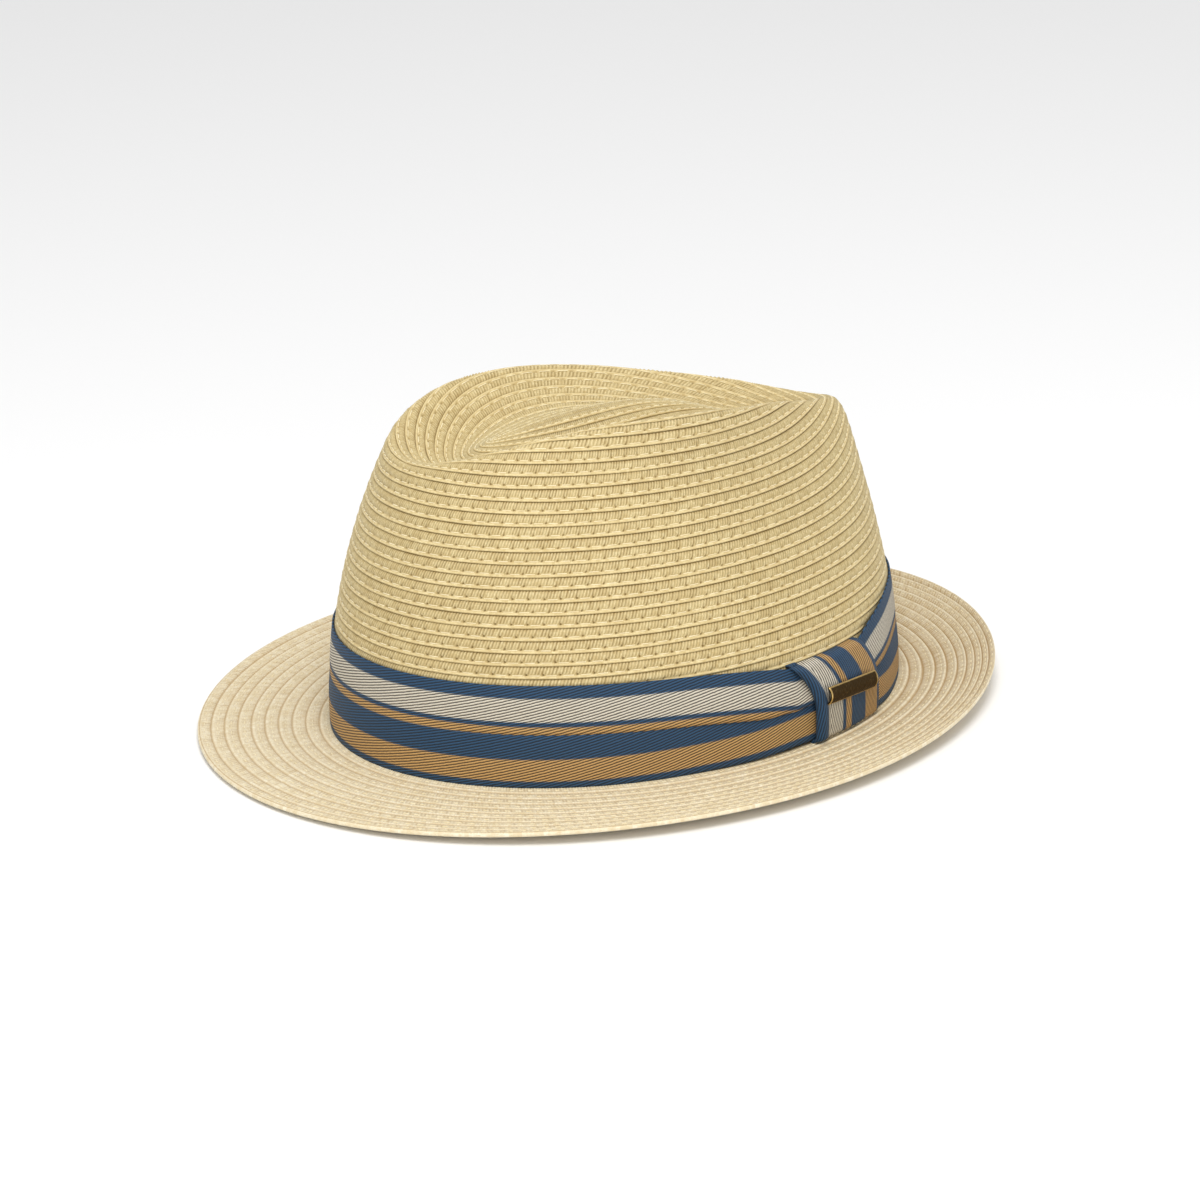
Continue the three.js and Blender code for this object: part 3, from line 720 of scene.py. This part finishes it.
# ---- crown pieces
CROWN_BLOCKS = (
    ("crown_braid_wall", 0, 14, 1010),
    ("crown_braid_crest", 14, 27, 1010),
    ("crown_braid_top", 27, CROWN_ROWS, 700),
)


def braid_uv(v, slide):
    """Counts ribs round the hat and rows up it."""
    def uv(rows, cols):
        return cols / 2 + slide[rows % len(slide)] / 2, v[rows % len(v)]

    return uv


def crown_pieces(material, thread):
    made, found = [], []
    for name, first, last, columns in CROWN_BLOCKS:
        points, normals, slide, v, depth, holes = crown_rows(first, last, columns)
        made.append(grid_object(name, points, braid_uv(v, slide), material, "crown_straw", depth))
        for row in range(last - first):
            sample = row * len(ROW_SECTION) + STITCH_SECTION
            places = points[sample], normals[sample], holes[row]
            found.append(dashes(*places, DASH_STEPS, COLUMNS_PER_STITCH))
    lines, facings = (np.concatenate(part) for part in zip(*found))
    angles = np.arctan2(lines[:, 0, 0], CROWN_BACK_SHIFT - lines[:, 0, 1])
    bare = lines[:, 0, 2] > band_head(angles) + DASH_CLEARANCE
    made.append(threads("crown_thread", lines[bare], facings[bare], thread, "crown_straw", THREAD_RADIUS))
    return made


# The back of the braid, as the inside of the crown shows it: shallower rows, with painted shade in the
# grooves between them.
INSIDE_SECTION = ((0.0, -0.25, 0.6), (0.12, 0.1, 0.0), (0.5, 0.18, 0.0), (0.8, 0.1, 0.1), (0.98, -0.2, 0.6))
INSIDE_COLUMNS = 540
INSIDE_RIB_HEIGHT = 0.06
INSIDE_LIFT = 0.35


def crown_inside(material):
    angles = even_angles(INSIDE_COLUMNS)
    sample = crown_sampler(angles)
    entries = [(row + share, up, shade) for row in range(CROWN_ROWS) for share, up, shade in INSIDE_SECTION]
    v, up, shade = np.array(entries).T
    points, normals = surface_normals(sample, np.repeat(v[:, None], INSIDE_COLUMNS, axis=1))
    height = up[:, None] + INSIDE_RIB_HEIGHT * alternate(INSIDE_COLUMNS)
    depth = np.repeat(shade[:, None], INSIDE_COLUMNS, axis=1)
    points = points - normals * (CROWN_THICKNESS - INSIDE_LIFT + height)[..., None]
    uv = braid_uv(v, np.zeros(len(v)))
    return grid_object("crown_braid_inside", points, uv, material, "crown_straw", depth, flip=True)


# ---- brim
BRIM_ROWS = 10
BRIM_COLUMNS = 1200
# A brim row's section: share of the row out from its crown side, height in mm, and painted shade, most in the
# grooves between rows.
BRIM_ROW_SECTION = (
    (0.0, -0.3, 1.0), (0.045, -0.22, 0.9), (0.11, 0.06, 0.1), (0.3, 0.1, 0.0), (0.5, 0.1, 0.05),
    (0.68, 0.12, 0.0), (0.78, 0.3, 0.0), (0.88, 0.32, 0.0), (0.955, -0.1, 0.7),
)
BRIM_STITCH_SECTION = 4
BRIM_COLUMNS_PER_STITCH = 6
BRIM_DASH_STEPS = ((0.9, -0.2), (1.6, 0.06), (3.8, 0.06), (4.6, -0.2))
BRIM_THREAD_RADIUS = 0.13
UP = np.array([0.0, 0.0, 1.0])
BRIM_RIB_HEIGHT = 0.13
BRIM_RIB_SHADE = 0.5
BRIM_BACK_SHADE = 0.3
BRIM_STRAND_SPREAD = (0.4, 1.3)
BRIM_WOBBLE = 0.012
UNDER_RIB_HEIGHT = 0.03
EDGE_BEAD = 0.3
EDGE_LINE_SHADE = 0.9
EDGE_UNDERCUT = 0.5
SEAM_FILLET = 0.5
SEAM_FILLET_REACH = 3.0
# The underside's rows: share, height in mm and painted shade.
BRIM_UNDER_SECTION = ((0.05, 0.25, 0.8), (0.3, 0.05, 0.0), (0.7, 0.02, 0.0), (0.95, 0.12, 0.3))
BACK_CROWDING = 0.13
LAST_ROW_ENDS = 0.85
ROLL_START = 0.86
ROLL_REACH = 0.14
EDGE_ROLL = ((0.0, 1.0), (0.35, 0.93), (0.75, 0.62), (0.95, 0.2), (1.0, -0.2), (0.85, -0.62), (0.45, -0.93))


def brim_width(angle):
    return BRIM_WIDTH + BRIM_FRONT_EXTRA * np.cos(angle)


def brim_rise(angle, from_edge):
    sloping = brim_width(angle) - BRIM_SEAT_WIDTH
    climbed = np.maximum(0, 1 - from_edge / sloping)
    edge = BRIM_RISE - BRIM_BACK_RISE * np.cos(angle)
    edge = edge + sum(size * np.cos((k + 2) * angle) for k, size in enumerate(BRIM_RISE_WAVES))
    return edge * climbed**BRIM_CURVE_POWER


def brim_point(angle, from_edge, up):
    out = brim_width(angle) - from_edge - CROWN_THICKNESS
    base = foot_point(angle) + outward(angle) * np.asarray(out)[..., None]
    return with_height(base, brim_rise(angle, from_edge) + up)


def brim_from_edge(angle, share):
    """How far in from the edge a share of the way out from the crown is. Rows crowd outwards at the back."""
    moved = share + BACK_CROWDING * np.sin(np.pi * np.clip(share, 0, 1)) * toward_back(angle)
    return (brim_width(angle) - CROWN_THICKNESS) * (1 - moved)


def toward_back(angle):
    return (1 - np.cos(angle)) / 2


def brim_row(row, angles):
    """Yields the samples across one row of the brim's top: share, height, shade, row and slide."""
    back, rib = toward_back(angles), alternate(BRIM_COLUMNS)
    wobble = row_wobble(angles, BRIM_WOBBLE)
    strand = random.uniform(*BRIM_STRAND_SPREAD, BRIM_COLUMNS)
    phase = random.uniform(0, 2)
    at_edge = row == BRIM_ROWS - 1
    for share, up, shade in BRIM_ROW_SECTION:
        if at_edge and share > LAST_ROW_ENDS:
            continue
        woven = smoothstep(share / 0.12) * smoothstep((0.76 - share) / 0.1)
        ribs = BRIM_RIB_HEIGHT * rib * strand * woven
        bead = EDGE_BEAD * at_edge * smoothstep(share / 0.25)
        lifted = up * (0.6 + 1.1 * back) + bead
        inwards = brim_width(angles) * (row + share) / BRIM_ROWS
        fillet = SEAM_FILLET * (1 - smoothstep(inwards / SEAM_FILLET_REACH))
        height = BRIM_THICKNESS + lifted + ribs + fillet
        # Painted shade: the section's, a little stronger towards the back, and on the woven part between the
        # ribs and more towards the back.
        groove = BRIM_RIB_SHADE * (rib < 0) * strand
        shaded = shade * (0.75 + 0.25 * back) + woven * (groove + BRIM_BACK_SHADE * back)
        yield (row + share + wobble) / BRIM_ROWS, height, shaded, row + share, phase + 2 * share


def brim_edge():
    """Yields the samples round the rolled edge."""
    half = (BRIM_THICKNESS + EDGE_BEAD - EDGE_UNDERCUT) / 2
    middle = EDGE_UNDERCUT + half
    for out, up in EDGE_ROLL:
        place = BRIM_ROWS - 1 + ROLL_START + ROLL_REACH * out
        shade = EDGE_LINE_SHADE if out == 0 else 0.0
        yield place / BRIM_ROWS, middle + half * up, shade, place, 0.0


def brim_under_row(row):
    """Yields the samples across one row of the brim's underside, from the outside in."""
    at_edge = row == BRIM_ROWS - 1
    rib = UNDER_RIB_HEIGHT * alternate(BRIM_COLUMNS)
    for share, up, shade in reversed(BRIM_UNDER_SECTION):
        if at_edge and share > LAST_ROW_ENDS:
            continue
        raised = EDGE_UNDERCUT if at_edge and share > 0.5 else 0.0
        yield (row + share) / BRIM_ROWS, up + raised + rib, shade, -(row + share), 0.0


def brim_braid(material, thread):
    angles = even_angles(BRIM_COLUMNS)
    samples = []
    for row in range(BRIM_ROWS):
        samples.extend(brim_row(row, angles))
    samples.extend(brim_edge())
    for row in reversed(range(BRIM_ROWS)):
        samples.extend(brim_under_row(row))
    share, up, shade, v, slide = zip(*samples)
    points = np.array([brim_point(angles, brim_from_edge(angles, s), u) for s, u in zip(share, up)])
    depth = np.array([np.broadcast_to(np.clip(one, 0, 1), angles.shape) for one in shade])
    slide = np.array(slide)
    points = shifted(points, slide)
    uv = braid_uv(np.array(v), slide)
    rows = grid_object(
        "brim_braid_rows", points, uv, material, "brim_straw", depth, section_closed=True, flip=True
    )
    return rows, brim_stitches(points, thread)


def brim_stitches(points, thread):
    """Dashes along the middle of each row. They lie in the straw, so that only their backs show."""
    found = []
    for row in range(BRIM_ROWS):
        line = points[row * len(BRIM_ROW_SECTION) + BRIM_STITCH_SECTION]
        places = line, np.broadcast_to(UP, line.shape), row % BRIM_COLUMNS_PER_STITCH
        found.append(dashes(*places, BRIM_DASH_STEPS, BRIM_COLUMNS_PER_STITCH))
    lines, facings = (np.concatenate(part) for part in zip(*found))
    return threads("brim_thread", lines, facings, thread, "brim_straw", BRIM_THREAD_RADIUS)


# ---- hatband
BAND_COLUMNS = 480
UPPER_WIDTH = RIBBON_WIDTH * 17.9 / STRIPE_TOTAL
UPPER_WIDTH_GATHERED = RIBBON_WIDTH * 15.0 / STRIPE_TOTAL
UPPER_NARROWS = (math.radians(19), math.radians(7))
PLEAT_OVERLAP = 4.0
PLEAT_PROUD = 0.8
PLEAT_SETS_IN = 4.0
RIBBON_THICKNESS = 0.6
RIBBON_FACE = 0.7
UPPER_SAMPLES = 17
UPPER_BULGE = 0.25
HEAD_FLARE = 0.5
FOLD_TUCK = 0.35
LOWER_SAMPLES = 19
LOWER_BULGE = 0.2
LOWER_SET_BACK = 0.15


def band_foot(angle):
    return BAND_FOOT + BAND_FOOT_LIFT * gathered(angle)


def band_head(angle):
    return BAND_HEAD - BAND_TOP_DIP * gathered(angle)


def band_stand_off(angle):
    return GAP + (KEEPER_PLY + GAP) * near_keeper(angle, BAND_LIFT_REACH)


def upper_width(angle):
    """How much of the ribbon shows above the pleat."""
    start, full = UPPER_NARROWS
    narrowed = smoothstep((start - np.abs(from_keeper(angle))) / (start - full))
    return lerp(UPPER_WIDTH, UPPER_WIDTH_GATHERED, narrowed)


def along_foot(angles, closed=True):
    """Millimetres along the foot of the crown at each angle, with one more for the way round."""
    return running_length(foot_point(np.append(angles, 2 * np.pi) if closed else angles))


def upper_ribbon(angles, face, pleat):
    """The rows of the part above the fold, and each row's place across the ribbon."""
    head, width = band_head(angles), upper_width(angles)
    rows, across = [], []
    for share in np.linspace(0, 1, UPPER_SAMPLES):
        bulge = UPPER_BULGE * math.sin(math.pi * share)
        flare = HEAD_FLARE * (1 - share) ** 3
        proud = pleat * PLEAT_PROUD * smoothstep((share - 0.2) / 0.6)
        tuck = FOLD_TUCK * pleat * smoothstep((share - 0.93) / 0.07)
        rows.append(off_wall(angles, head - width * share, face + bulge + flare + proud - tuck))
        across.append(width * share)
    return np.array(rows), np.array(across)


def lower_ribbon(angles, face, pleat):
    """The same of the part below the fold. Where it is gathered, it starts behind the upper part."""
    foot = band_foot(angles)
    top = band_head(angles) - upper_width(angles) + PLEAT_OVERLAP * pleat
    rows, across = [], []
    for share in np.linspace(0, 1, LOWER_SAMPLES):
        bulge = LOWER_BULGE * math.sin(math.pi * share)
        height = lerp(top, foot, share)
        rows.append(off_wall(angles, height, face + bulge - LOWER_SET_BACK * pleat))
        across.append(RIBBON_WIDTH - (height - foot))
    return np.array(rows), np.array(across)


def hatband(material):
    """The ribbon, with the pleat that the keeper gathers: the lower part runs up behind the upper part."""
    angles = even_angles(BAND_COLUMNS)
    hidden = RIBBON_WIDTH - (band_head(angles) - band_foot(angles))
    pleat = smoothstep(hidden / PLEAT_SETS_IN)
    face = band_stand_off(angles) + RIBBON_FACE
    u = along_foot(angles)
    join_column = np.searchsorted(angles, KEEPER_ANGLE)  # the weave's ends meet behind the keeper
    pieces = []
    for name, make in (("hatband_top", upper_ribbon), ("hatband_foot", lower_ribbon)):
        rows, across = make(angles, face, pleat)

        def uv(r, c, across=across):
            before_join = c.min(axis=1, keepdims=True) < join_column
            return u[c] + u[-1] * before_join, across[r, c % BAND_COLUMNS]

        pieces.append(grid_object(name, rows, uv, material, "ribbon", flip=True))
    return join(pieces, "hatband_ribbon")


def join(pieces, name):
    """Makes one piece of several and welds the points that coincide."""
    with bpy.context.temp_override(active_object=pieces[0], selected_editable_objects=pieces):
        bpy.ops.object.join()
    whole = pieces[0]
    whole.name = name
    weld = whole.modifiers.new("weld", "WELD")
    weld.merge_threshold = 0.01 * MM
    return whole


# ---- keeper
KEEPER_LEAN_FROM = 14.0
KEEPER_BACK_SET = 7.6
KEEPER_LEAN = 9.0
KEEPER_ACROSS = 72
KEEPER_BELOW = 0.75
KEEPER_ABOVE = 0.85
KEEPER_FRONT = 2.85
KEEPER_BEHIND = 0.8
KEEPER_CORNER = 1.9
KEEPER_LAP = 2.0
CORNER_STEPS = 8
FACE_STEPS = 22
SIDE_STEPS = 8
BACK_STEPS = 10
FACE_BULGE = 0.5
SIDE_ROLL = 0.3
ROLL_PROFILE = (  # distance across, height off the keeper's face, ribbon v
    (3.6, -2.4, -5.0), (1.6, -2.3, -3.4), (0.2, -1.5, -1.9), (-0.35, -0.2, -0.6), (0.4, 0.95, 0.8),
    (2.0, 1.45, 2.4), (3.7, 0.95, 3.9), (5.0, 0.2, 5.2), (6.2, -0.05, 6.4),
)


def keeper_speed():
    """Millimetres along the foot per radian, at the keeper."""
    here, there = foot_point(np.array([KEEPER_ANGLE - SMALL_TURN, KEEPER_ANGLE + SMALL_TURN]))
    return np.linalg.norm(there - here) / (2 * SMALL_TURN)


def keeper_across():
    """Across the keeper: distance from its front edge, height off its face, and ribbon v."""
    knots = np.array(ROLL_PROFILE)[None]
    rolled = spline(knots, 5)[0][:-1]
    flat = np.linspace(ROLL_PROFILE[-1][0], RIBBON_WIDTH, KEEPER_ACROSS - len(rolled))
    wave = 0.18 * np.sin(flat * 0.42) * np.sin(np.pi * (flat - flat[0]) / (flat[-1] - flat[0]))
    edge_drop = -0.5 * smoothstep((flat - (RIBBON_WIDTH - 2)) / 2)
    flat_part = np.stack([flat, wave + edge_drop - 0.05, flat], axis=-1)
    return np.concatenate([rolled, flat_part])


def keeper_path(low, high, front, back):
    """Once round the gathered band: height, distance off the wall, and how much of the roll shows there."""
    corner = KEEPER_CORNER
    bend = front - corner

    def turned(height, start):
        for turn in np.linspace(start, start + math.pi / 2, CORNER_STEPS)[:-1]:
            yield height + corner * math.sin(turn), bend + corner * math.cos(turn), 0.5 + 0.5 * math.cos(turn)

    def straight(start, end, steps):
        return [[lerp(a, b, share) for a, b in zip(start, end)] for share in np.linspace(0, 1, steps)]

    face = [
        (height, front + FACE_BULGE * math.sin(math.pi * share), 1.0)
        for height, share in straight((low + corner, 0), (high - corner, 1), FACE_STEPS)[:-1]
    ]
    over = straight((high, bend, SIDE_ROLL), (high, back, 0), SIDE_STEPS)
    behind = straight((high, back, 0), (low, back, 0), BACK_STEPS)[1:-1]
    under = straight((low, back, 0), (low, bend, SIDE_ROLL), SIDE_STEPS)[:-1]
    path = [*turned(low + corner, -math.pi / 2), *face, *turned(high - corner, 0), *over, *behind, *under]
    return np.array(path)


def band_keeper(material):
    across, speed = keeper_across(), keeper_speed()
    low = float(band_foot(KEEPER_ANGLE)) - KEEPER_BELOW
    high = float(band_head(KEEPER_ANGLE)) + KEEPER_ABOVE
    front = float(band_stand_off(KEEPER_ANGLE)) + KEEPER_FRONT
    path = keeper_path(low, high, front, KEEPER_BEHIND)
    points = []
    for height, out, roll in path:
        lean = KEEPER_LEAN * max(0, (height - KEEPER_LEAN_FROM) / (high - KEEPER_LEAN_FROM)) ** 2
        distance = across[:, 0] - RIBBON_WIDTH / 2 + KEEPER_BACK_SET - lean
        points.append(off_wall(KEEPER_ANGLE + distance / speed, height, out + across[:, 1] * roll))
    around = running_length(path[:, :2])
    total = around[-1] + KEEPER_LAP

    def uv(rows, cols):
        turns = rows // len(path)
        return -(around[rows % len(path)] + total * turns), across[cols, 2]

    return grid_object(
        "band_keeper_loop", np.array(points), uv, material, "ribbon", round_closed=False, section_closed=True
    )


# ---- badge
BADGE_LENGTH = 27.0
BADGE_WIDTH = 6.6
BADGE_BOW = 1.8
BADGE_THICKNESS = 0.8
BADGE_BORDER = 0.7
BADGE_ROUNDING = 0.22
BADGE_SUNK = 0.2
BADGE_HAMMERING = 0.07
BADGE_RIM = np.array([0.0, 0.12, 0.35, BADGE_BORDER, BADGE_BORDER + 0.2])
BADGE_INNER = 1.2
BADGE_SAMPLES = (120, 33)


def badge_basis():
    """The badge's own directions, taken from where the CAD plate lies."""
    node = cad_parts["badge_plate"]
    points = np.array([v.co for v in node.data.vertices]) / MM
    centre = (BADGE_LOW + BADGE_HIGH) / 2
    angle = math.atan2(centre[0] / CROWN_HALF_WIDTH, -(centre[1] - CROWN_BACK_SHIFT) / CROWN_HALF_LENGTH)
    out = outward(angle)
    face = (points - centre) @ out
    plate = points[face > face.max() - BADGE_BOW - 0.2]
    middle = (plate.max(axis=0) + plate.min(axis=0)) / 2
    level = np.cross([0, 0, 1], out)
    spread = plate - middle
    slope = np.polyfit(spread @ level, spread[:, 2], 1)[0]
    along = unit(level + np.array([0, 0, slope]))
    up = np.cross(out, along)
    base = middle + out * ((plate - middle) @ out).min()
    return base, along, up, out


def badge_relief(from_end, from_side):
    """The height of the plate's face off its bow, and how dark it is, by the distance from its edges."""
    inside = np.minimum(from_end, from_side)
    soft = -BADGE_ROUNDING * (1 - smoothstep(inside / 0.3))
    sunk = -BADGE_SUNK * smoothstep((inside - BADGE_BORDER + 0.15) / 0.3)
    return soft + sunk, smoothstep((inside - BADGE_BORDER + 0.2) / 0.35)


def badge(material):
    base, along, up, out = badge_basis()
    radius = (BADGE_WIDTH**2 / 4 + BADGE_BOW**2) / (2 * BADGE_BOW)
    spread = math.asin(BADGE_WIDTH / 2 / radius)
    drop = radius * math.cos(spread)
    half = BADGE_LENGTH / 2
    lengthwise, crosswise = BADGE_SAMPLES
    inner = np.linspace(BADGE_INNER, BADGE_LENGTH - BADGE_INNER, lengthwise)
    xs = np.concatenate([BADGE_RIM, inner, BADGE_LENGTH - BADGE_RIM[::-1]]) - half
    turns = np.linspace(-spread, spread, crosswise)
    rows, depth = [], []
    for turn in turns:
        height, dark = badge_relief(half - np.abs(xs), (spread - abs(turn)) * radius)
        dimples = np.sin(xs * 3.1 + 5 * np.sin(turn * 9)) * np.sin(turn * 17 + xs * 0.8)
        r = radius + height + BADGE_HAMMERING * dimples * dark
        rows.append((xs, r * math.sin(turn), r * math.cos(turn) - drop))
        depth.append(dark)
    for turn in turns[::-1]:
        r = np.full_like(xs, radius - BADGE_THICKNESS)
        rows.append((xs * 0.995, r * math.sin(turn), r * math.cos(turn) - drop))
        depth.append(np.ones_like(xs))
    points = np.array([base + x[:, None] * along + y[:, None] * up + z[:, None] * out for x, y, z in rows])

    def uv(r, c):
        return c * 0.2, r * 0.2

    return grid_object(
        "badge_plate_bowed", points, uv, material, "badge_brass",
        np.array(depth), round_closed=False, section_closed=True,
    )


# ---- inside the crown
SWEATBAND_HEIGHT = 32.0
SWEATBAND_INSET = CROWN_THICKNESS + 0.4
SWEATBAND_THICKNESS = 0.9
SWEATBAND_COLUMNS = 360
SWEATBAND_FOOT = 2.3
LABEL_INSET = SWEATBAND_INSET + SWEATBAND_THICKNESS + GAP
LABEL_THICKNESS = 0.5
SHEET_SAMPLES = 14
PATCH_COLUMNS = 24


def wall_sheet(name, material, slot, angles, foot, height, inset, closed, thickness):
    """Cloth that lies against the inside of the wall. Its face looks into the crown."""
    u = along_foot(angles, closed)
    heights = np.linspace(foot, foot + height, SHEET_SAMPLES)
    points = np.array([off_wall(angles, h, -inset) for h in heights])

    def uv(r, c):
        return u[c], heights[r]

    piece = grid_object(name, points, uv, material, slot, round_closed=closed, flip=True)
    return thicken(piece, thickness)


def patch_angles(centre_deg, width):
    """The angles that a patch of cloth spans, round its centre."""
    centre = math.radians(centre_deg)
    speed = np.linalg.norm(foot_point(centre + SMALL_TURN) - foot_point(centre)) / SMALL_TURN
    half = width / 2 / speed
    return np.linspace(centre - half, centre + half, PATCH_COLUMNS)


# ---- stitches
DASH_STEPS = ((1.2, -0.25), (2.4, 0.24), (7.4, 0.24), (8.8, -0.25))
DASH_CLEARANCE = 1.5
THREAD_RADIUS = 0.15
THREAD_SIDES = 5
THREAD_TAPER = (0.35, 1.0, 1.0, 0.35)


def dashes(points, normals, hole_at, steps, spacing):
    """One dash between each pair of holes in a row. steps are columns past the hole, and heights."""
    start = np.arange(hole_at, len(points) - spacing, spacing)
    along, up = np.array(steps).T
    place = start[:, None] + along[None]
    base = np.floor(place).astype(int) % len(points)
    part = (place - np.floor(place))[..., None]
    following = (base + 1) % len(points)
    normal = unit(lerp(normals[base], normals[following], part))
    smooth = (points + np.roll(points, 1, axis=0) + np.roll(points, -1, axis=0)) / 3
    line = lerp(smooth[base], smooth[following], part) + normal * up[None, :, None]
    return line, normal


def threads(name, lines, normals, material, slot, radius):
    """Short dashes of thread. lines and normals have the shape (dashes, rings, 3)."""
    along = unit(np.gradient(lines, axis=1))
    side = unit(np.cross(along, normals))
    up = np.cross(side, along)
    turn = np.arange(THREAD_SIDES) / THREAD_SIDES * 2 * np.pi
    swell = np.array(THREAD_TAPER)[:, None, None] * radius
    ring = np.cos(turn)[:, None] * side[:, :, None] + np.sin(turn)[:, None] * up[:, :, None]
    points = lines[:, :, None] + ring * swell
    count, rings, sides = points.shape[:3]
    r, s = np.meshgrid(np.arange(rings - 1), np.arange(sides), indexing="ij")
    here, beside = r * sides + s, r * sides + (s + 1) % sides
    one = np.stack([here, beside, beside + sides, here + sides], axis=-1).reshape(-1, 4)
    quads = (np.arange(count)[:, None, None] * rings * sides + one[None]).reshape(-1, 4)
    return new_object(name, points.reshape(-1, 3), quads, material, slot)


# ---- camera, light and floor
VIEW_AZIMUTH = math.radians(60)
VIEW_ELEVATION = math.radians(21.164)
VIEW_ROLL = math.radians(-1.6)
VIEW_DISTANCE = 1500.0
AIM_RIGHT = -6.1
AIM_UP = 31.7
LENS_MM = 127.0
SENSOR_MM = 36.0
LIGHT_TARGET = (0, 0, 0.05)
WORLD_STRENGTH = 0.72
FLOOR_REACH = 12.0
FLOOR_WHITE = 0.93


def view_axes():
    a, e = VIEW_AZIMUTH, VIEW_ELEVATION
    back = np.array([math.sin(a) * math.cos(e), -math.cos(a) * math.cos(e), math.sin(e)])
    right = np.array([math.cos(a), math.sin(a), 0.0])
    up = np.cross(back, right)
    c, s = math.cos(VIEW_ROLL), math.sin(VIEW_ROLL)
    return back, right * c + up * s, up * c - right * s


def add_camera():
    back, right, up = view_axes()
    origin = np.array([0, CROWN_BACK_SHIFT, CROWN_FOOT])
    place = origin + back * VIEW_DISTANCE
    aim = origin + right * AIM_RIGHT + up * AIM_UP
    z = unit(place - aim)
    x = unit(np.cross(up, z))
    y = np.cross(z, x)
    data = bpy.data.cameras.new("camera")
    data.lens = LENS_MM
    data.sensor_width = SENSOR_MM
    data.clip_start = 0.05
    camera = link_object("camera", data)
    rotation = Matrix((x, y, z)).transposed().to_4x4()
    camera.matrix_world = Matrix.Translation(Vector(place * MM)) @ rotation
    bpy.context.scene.camera = camera


def area_light(name, place, size, power):
    data = bpy.data.lights.new(name, "AREA")
    data.shape = "DISK"
    data.size = size
    data.energy = power
    light = link_object(name, data)
    light.location = place
    light.rotation_mode = "QUATERNION"
    light.rotation_quaternion = (Vector(LIGHT_TARGET) - Vector(place)).to_track_quat("-Z", "Y")


def add_studio():
    scene = bpy.context.scene
    scene.view_settings.view_transform = "Standard"
    world = bpy.data.worlds.new("studio")
    world.use_nodes = True
    background = world.node_tree.nodes["Background"]
    background.inputs["Color"].default_value = (1.0, 1.0, 1.0, 1.0)
    background.inputs["Strength"].default_value = WORLD_STRENGTH
    scene.world = world
    area_light("key", (0.75, -0.35, 1.5), 0.8, 16.0)
    area_light("fill", (1.4, -0.9, 0.7), 1.2, 4.0)
    floor = bpy.data.meshes.new("floor")
    corners = [(x * FLOOR_REACH, y * FLOOR_REACH, 0) for x, y in ((-1, -1), (1, -1), (1, 1), (-1, 1))]
    floor.from_pydata(corners, [], [(0, 1, 2, 3)])
    paper = (FLOOR_WHITE, FLOOR_WHITE, FLOOR_WHITE, 1)
    floor.materials.append(new_material("floor_paper", 0.9, Base_Color=paper)[0])
    link_object("floor", floor)


# ---- the whole hat
def dress_cad_node(node, material):
    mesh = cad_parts[node].data
    mesh.materials.clear()
    mesh.materials.append(material)


# Name, CAD node, centre in degrees, width, foot, height.
JOINT_TAPE = ("joint_tape", "sweatband_joint_tape", 180, 16, 3.3, 30)
SIZE_TAG = ("size_tag", "size_label", 166, 13, 12, 17)
CARE_TAG = ("care_tag", "care_label", 146, 26, 8, 46)


def add_patch(material, slot, name, node, centre, width, foot, height):
    angles = patch_angles(centre, width)
    piece = wall_sheet(name, material, slot, angles, foot, height, LABEL_INSET, False, LABEL_THICKNESS)
    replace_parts(piece, node)


def build_hat():
    # Each straw's own pale and warm colours, then the colour of its painted shade.
    crown_colours = rgb(238, 222, 172), rgb(194, 168, 110), rgb(130, 100, 32)
    brim_colours = rgb(242, 234, 210), rgb(210, 188, 142), rgb(164, 130, 76)
    crown_straw = straw_material("crown_straw", *crown_colours, ribs_shown=0.0, bead_to=0.22)
    brim_straw = straw_material("brim_straw", *brim_colours, ribs_shown=0.2, bead_to=0.8)
    ribbon = ribbon_material()
    sweat_cloth = cloth_material("sweatband_cloth", rgb(206, 192, 160), rgb(168, 150, 116), 0.8)
    label_cloth = cloth_material("label_satin", rgb(240, 238, 230), rgb(214, 211, 200), 0.35, 0.5)

    thread = thread_material()
    crown = crown_pieces(crown_straw, thread)
    crown.append(crown_inside(crown_straw))
    for piece in crown:
        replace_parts(piece, "crown_braid")
    for piece in brim_braid(brim_straw, thread):
        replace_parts(piece, "brim_braid")

    band = thicken(hatband(ribbon), RIBBON_THICKNESS)
    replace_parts(band, "hatband")
    band_length = along_foot(even_angles(BAND_COLUMNS))[-1] * MM

    keeper = thicken(band_keeper(ribbon), RIBBON_THICKNESS)
    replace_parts(keeper, "band_keeper")
    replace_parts(badge(brass_material()), "badge_plate")

    sweatband = wall_sheet(
        "sweatband_tape", sweat_cloth, "sweatband_cloth", even_angles(SWEATBAND_COLUMNS), SWEATBAND_FOOT,
        SWEATBAND_HEIGHT, SWEATBAND_INSET, True, SWEATBAND_THICKNESS,
    )
    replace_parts(sweatband, "sweatband")
    add_patch(sweat_cloth, "sweatband_cloth", *JOINT_TAPE)
    for tag in (SIZE_TAG, CARE_TAG):
        add_patch(label_cloth, "label_cloth", *tag)
    dress_cad_node("sweatband_reed", sweat_cloth)
    dress_cad_node("brim_edge_wire", wire_material())


add_camera()
add_studio()
build_hat()
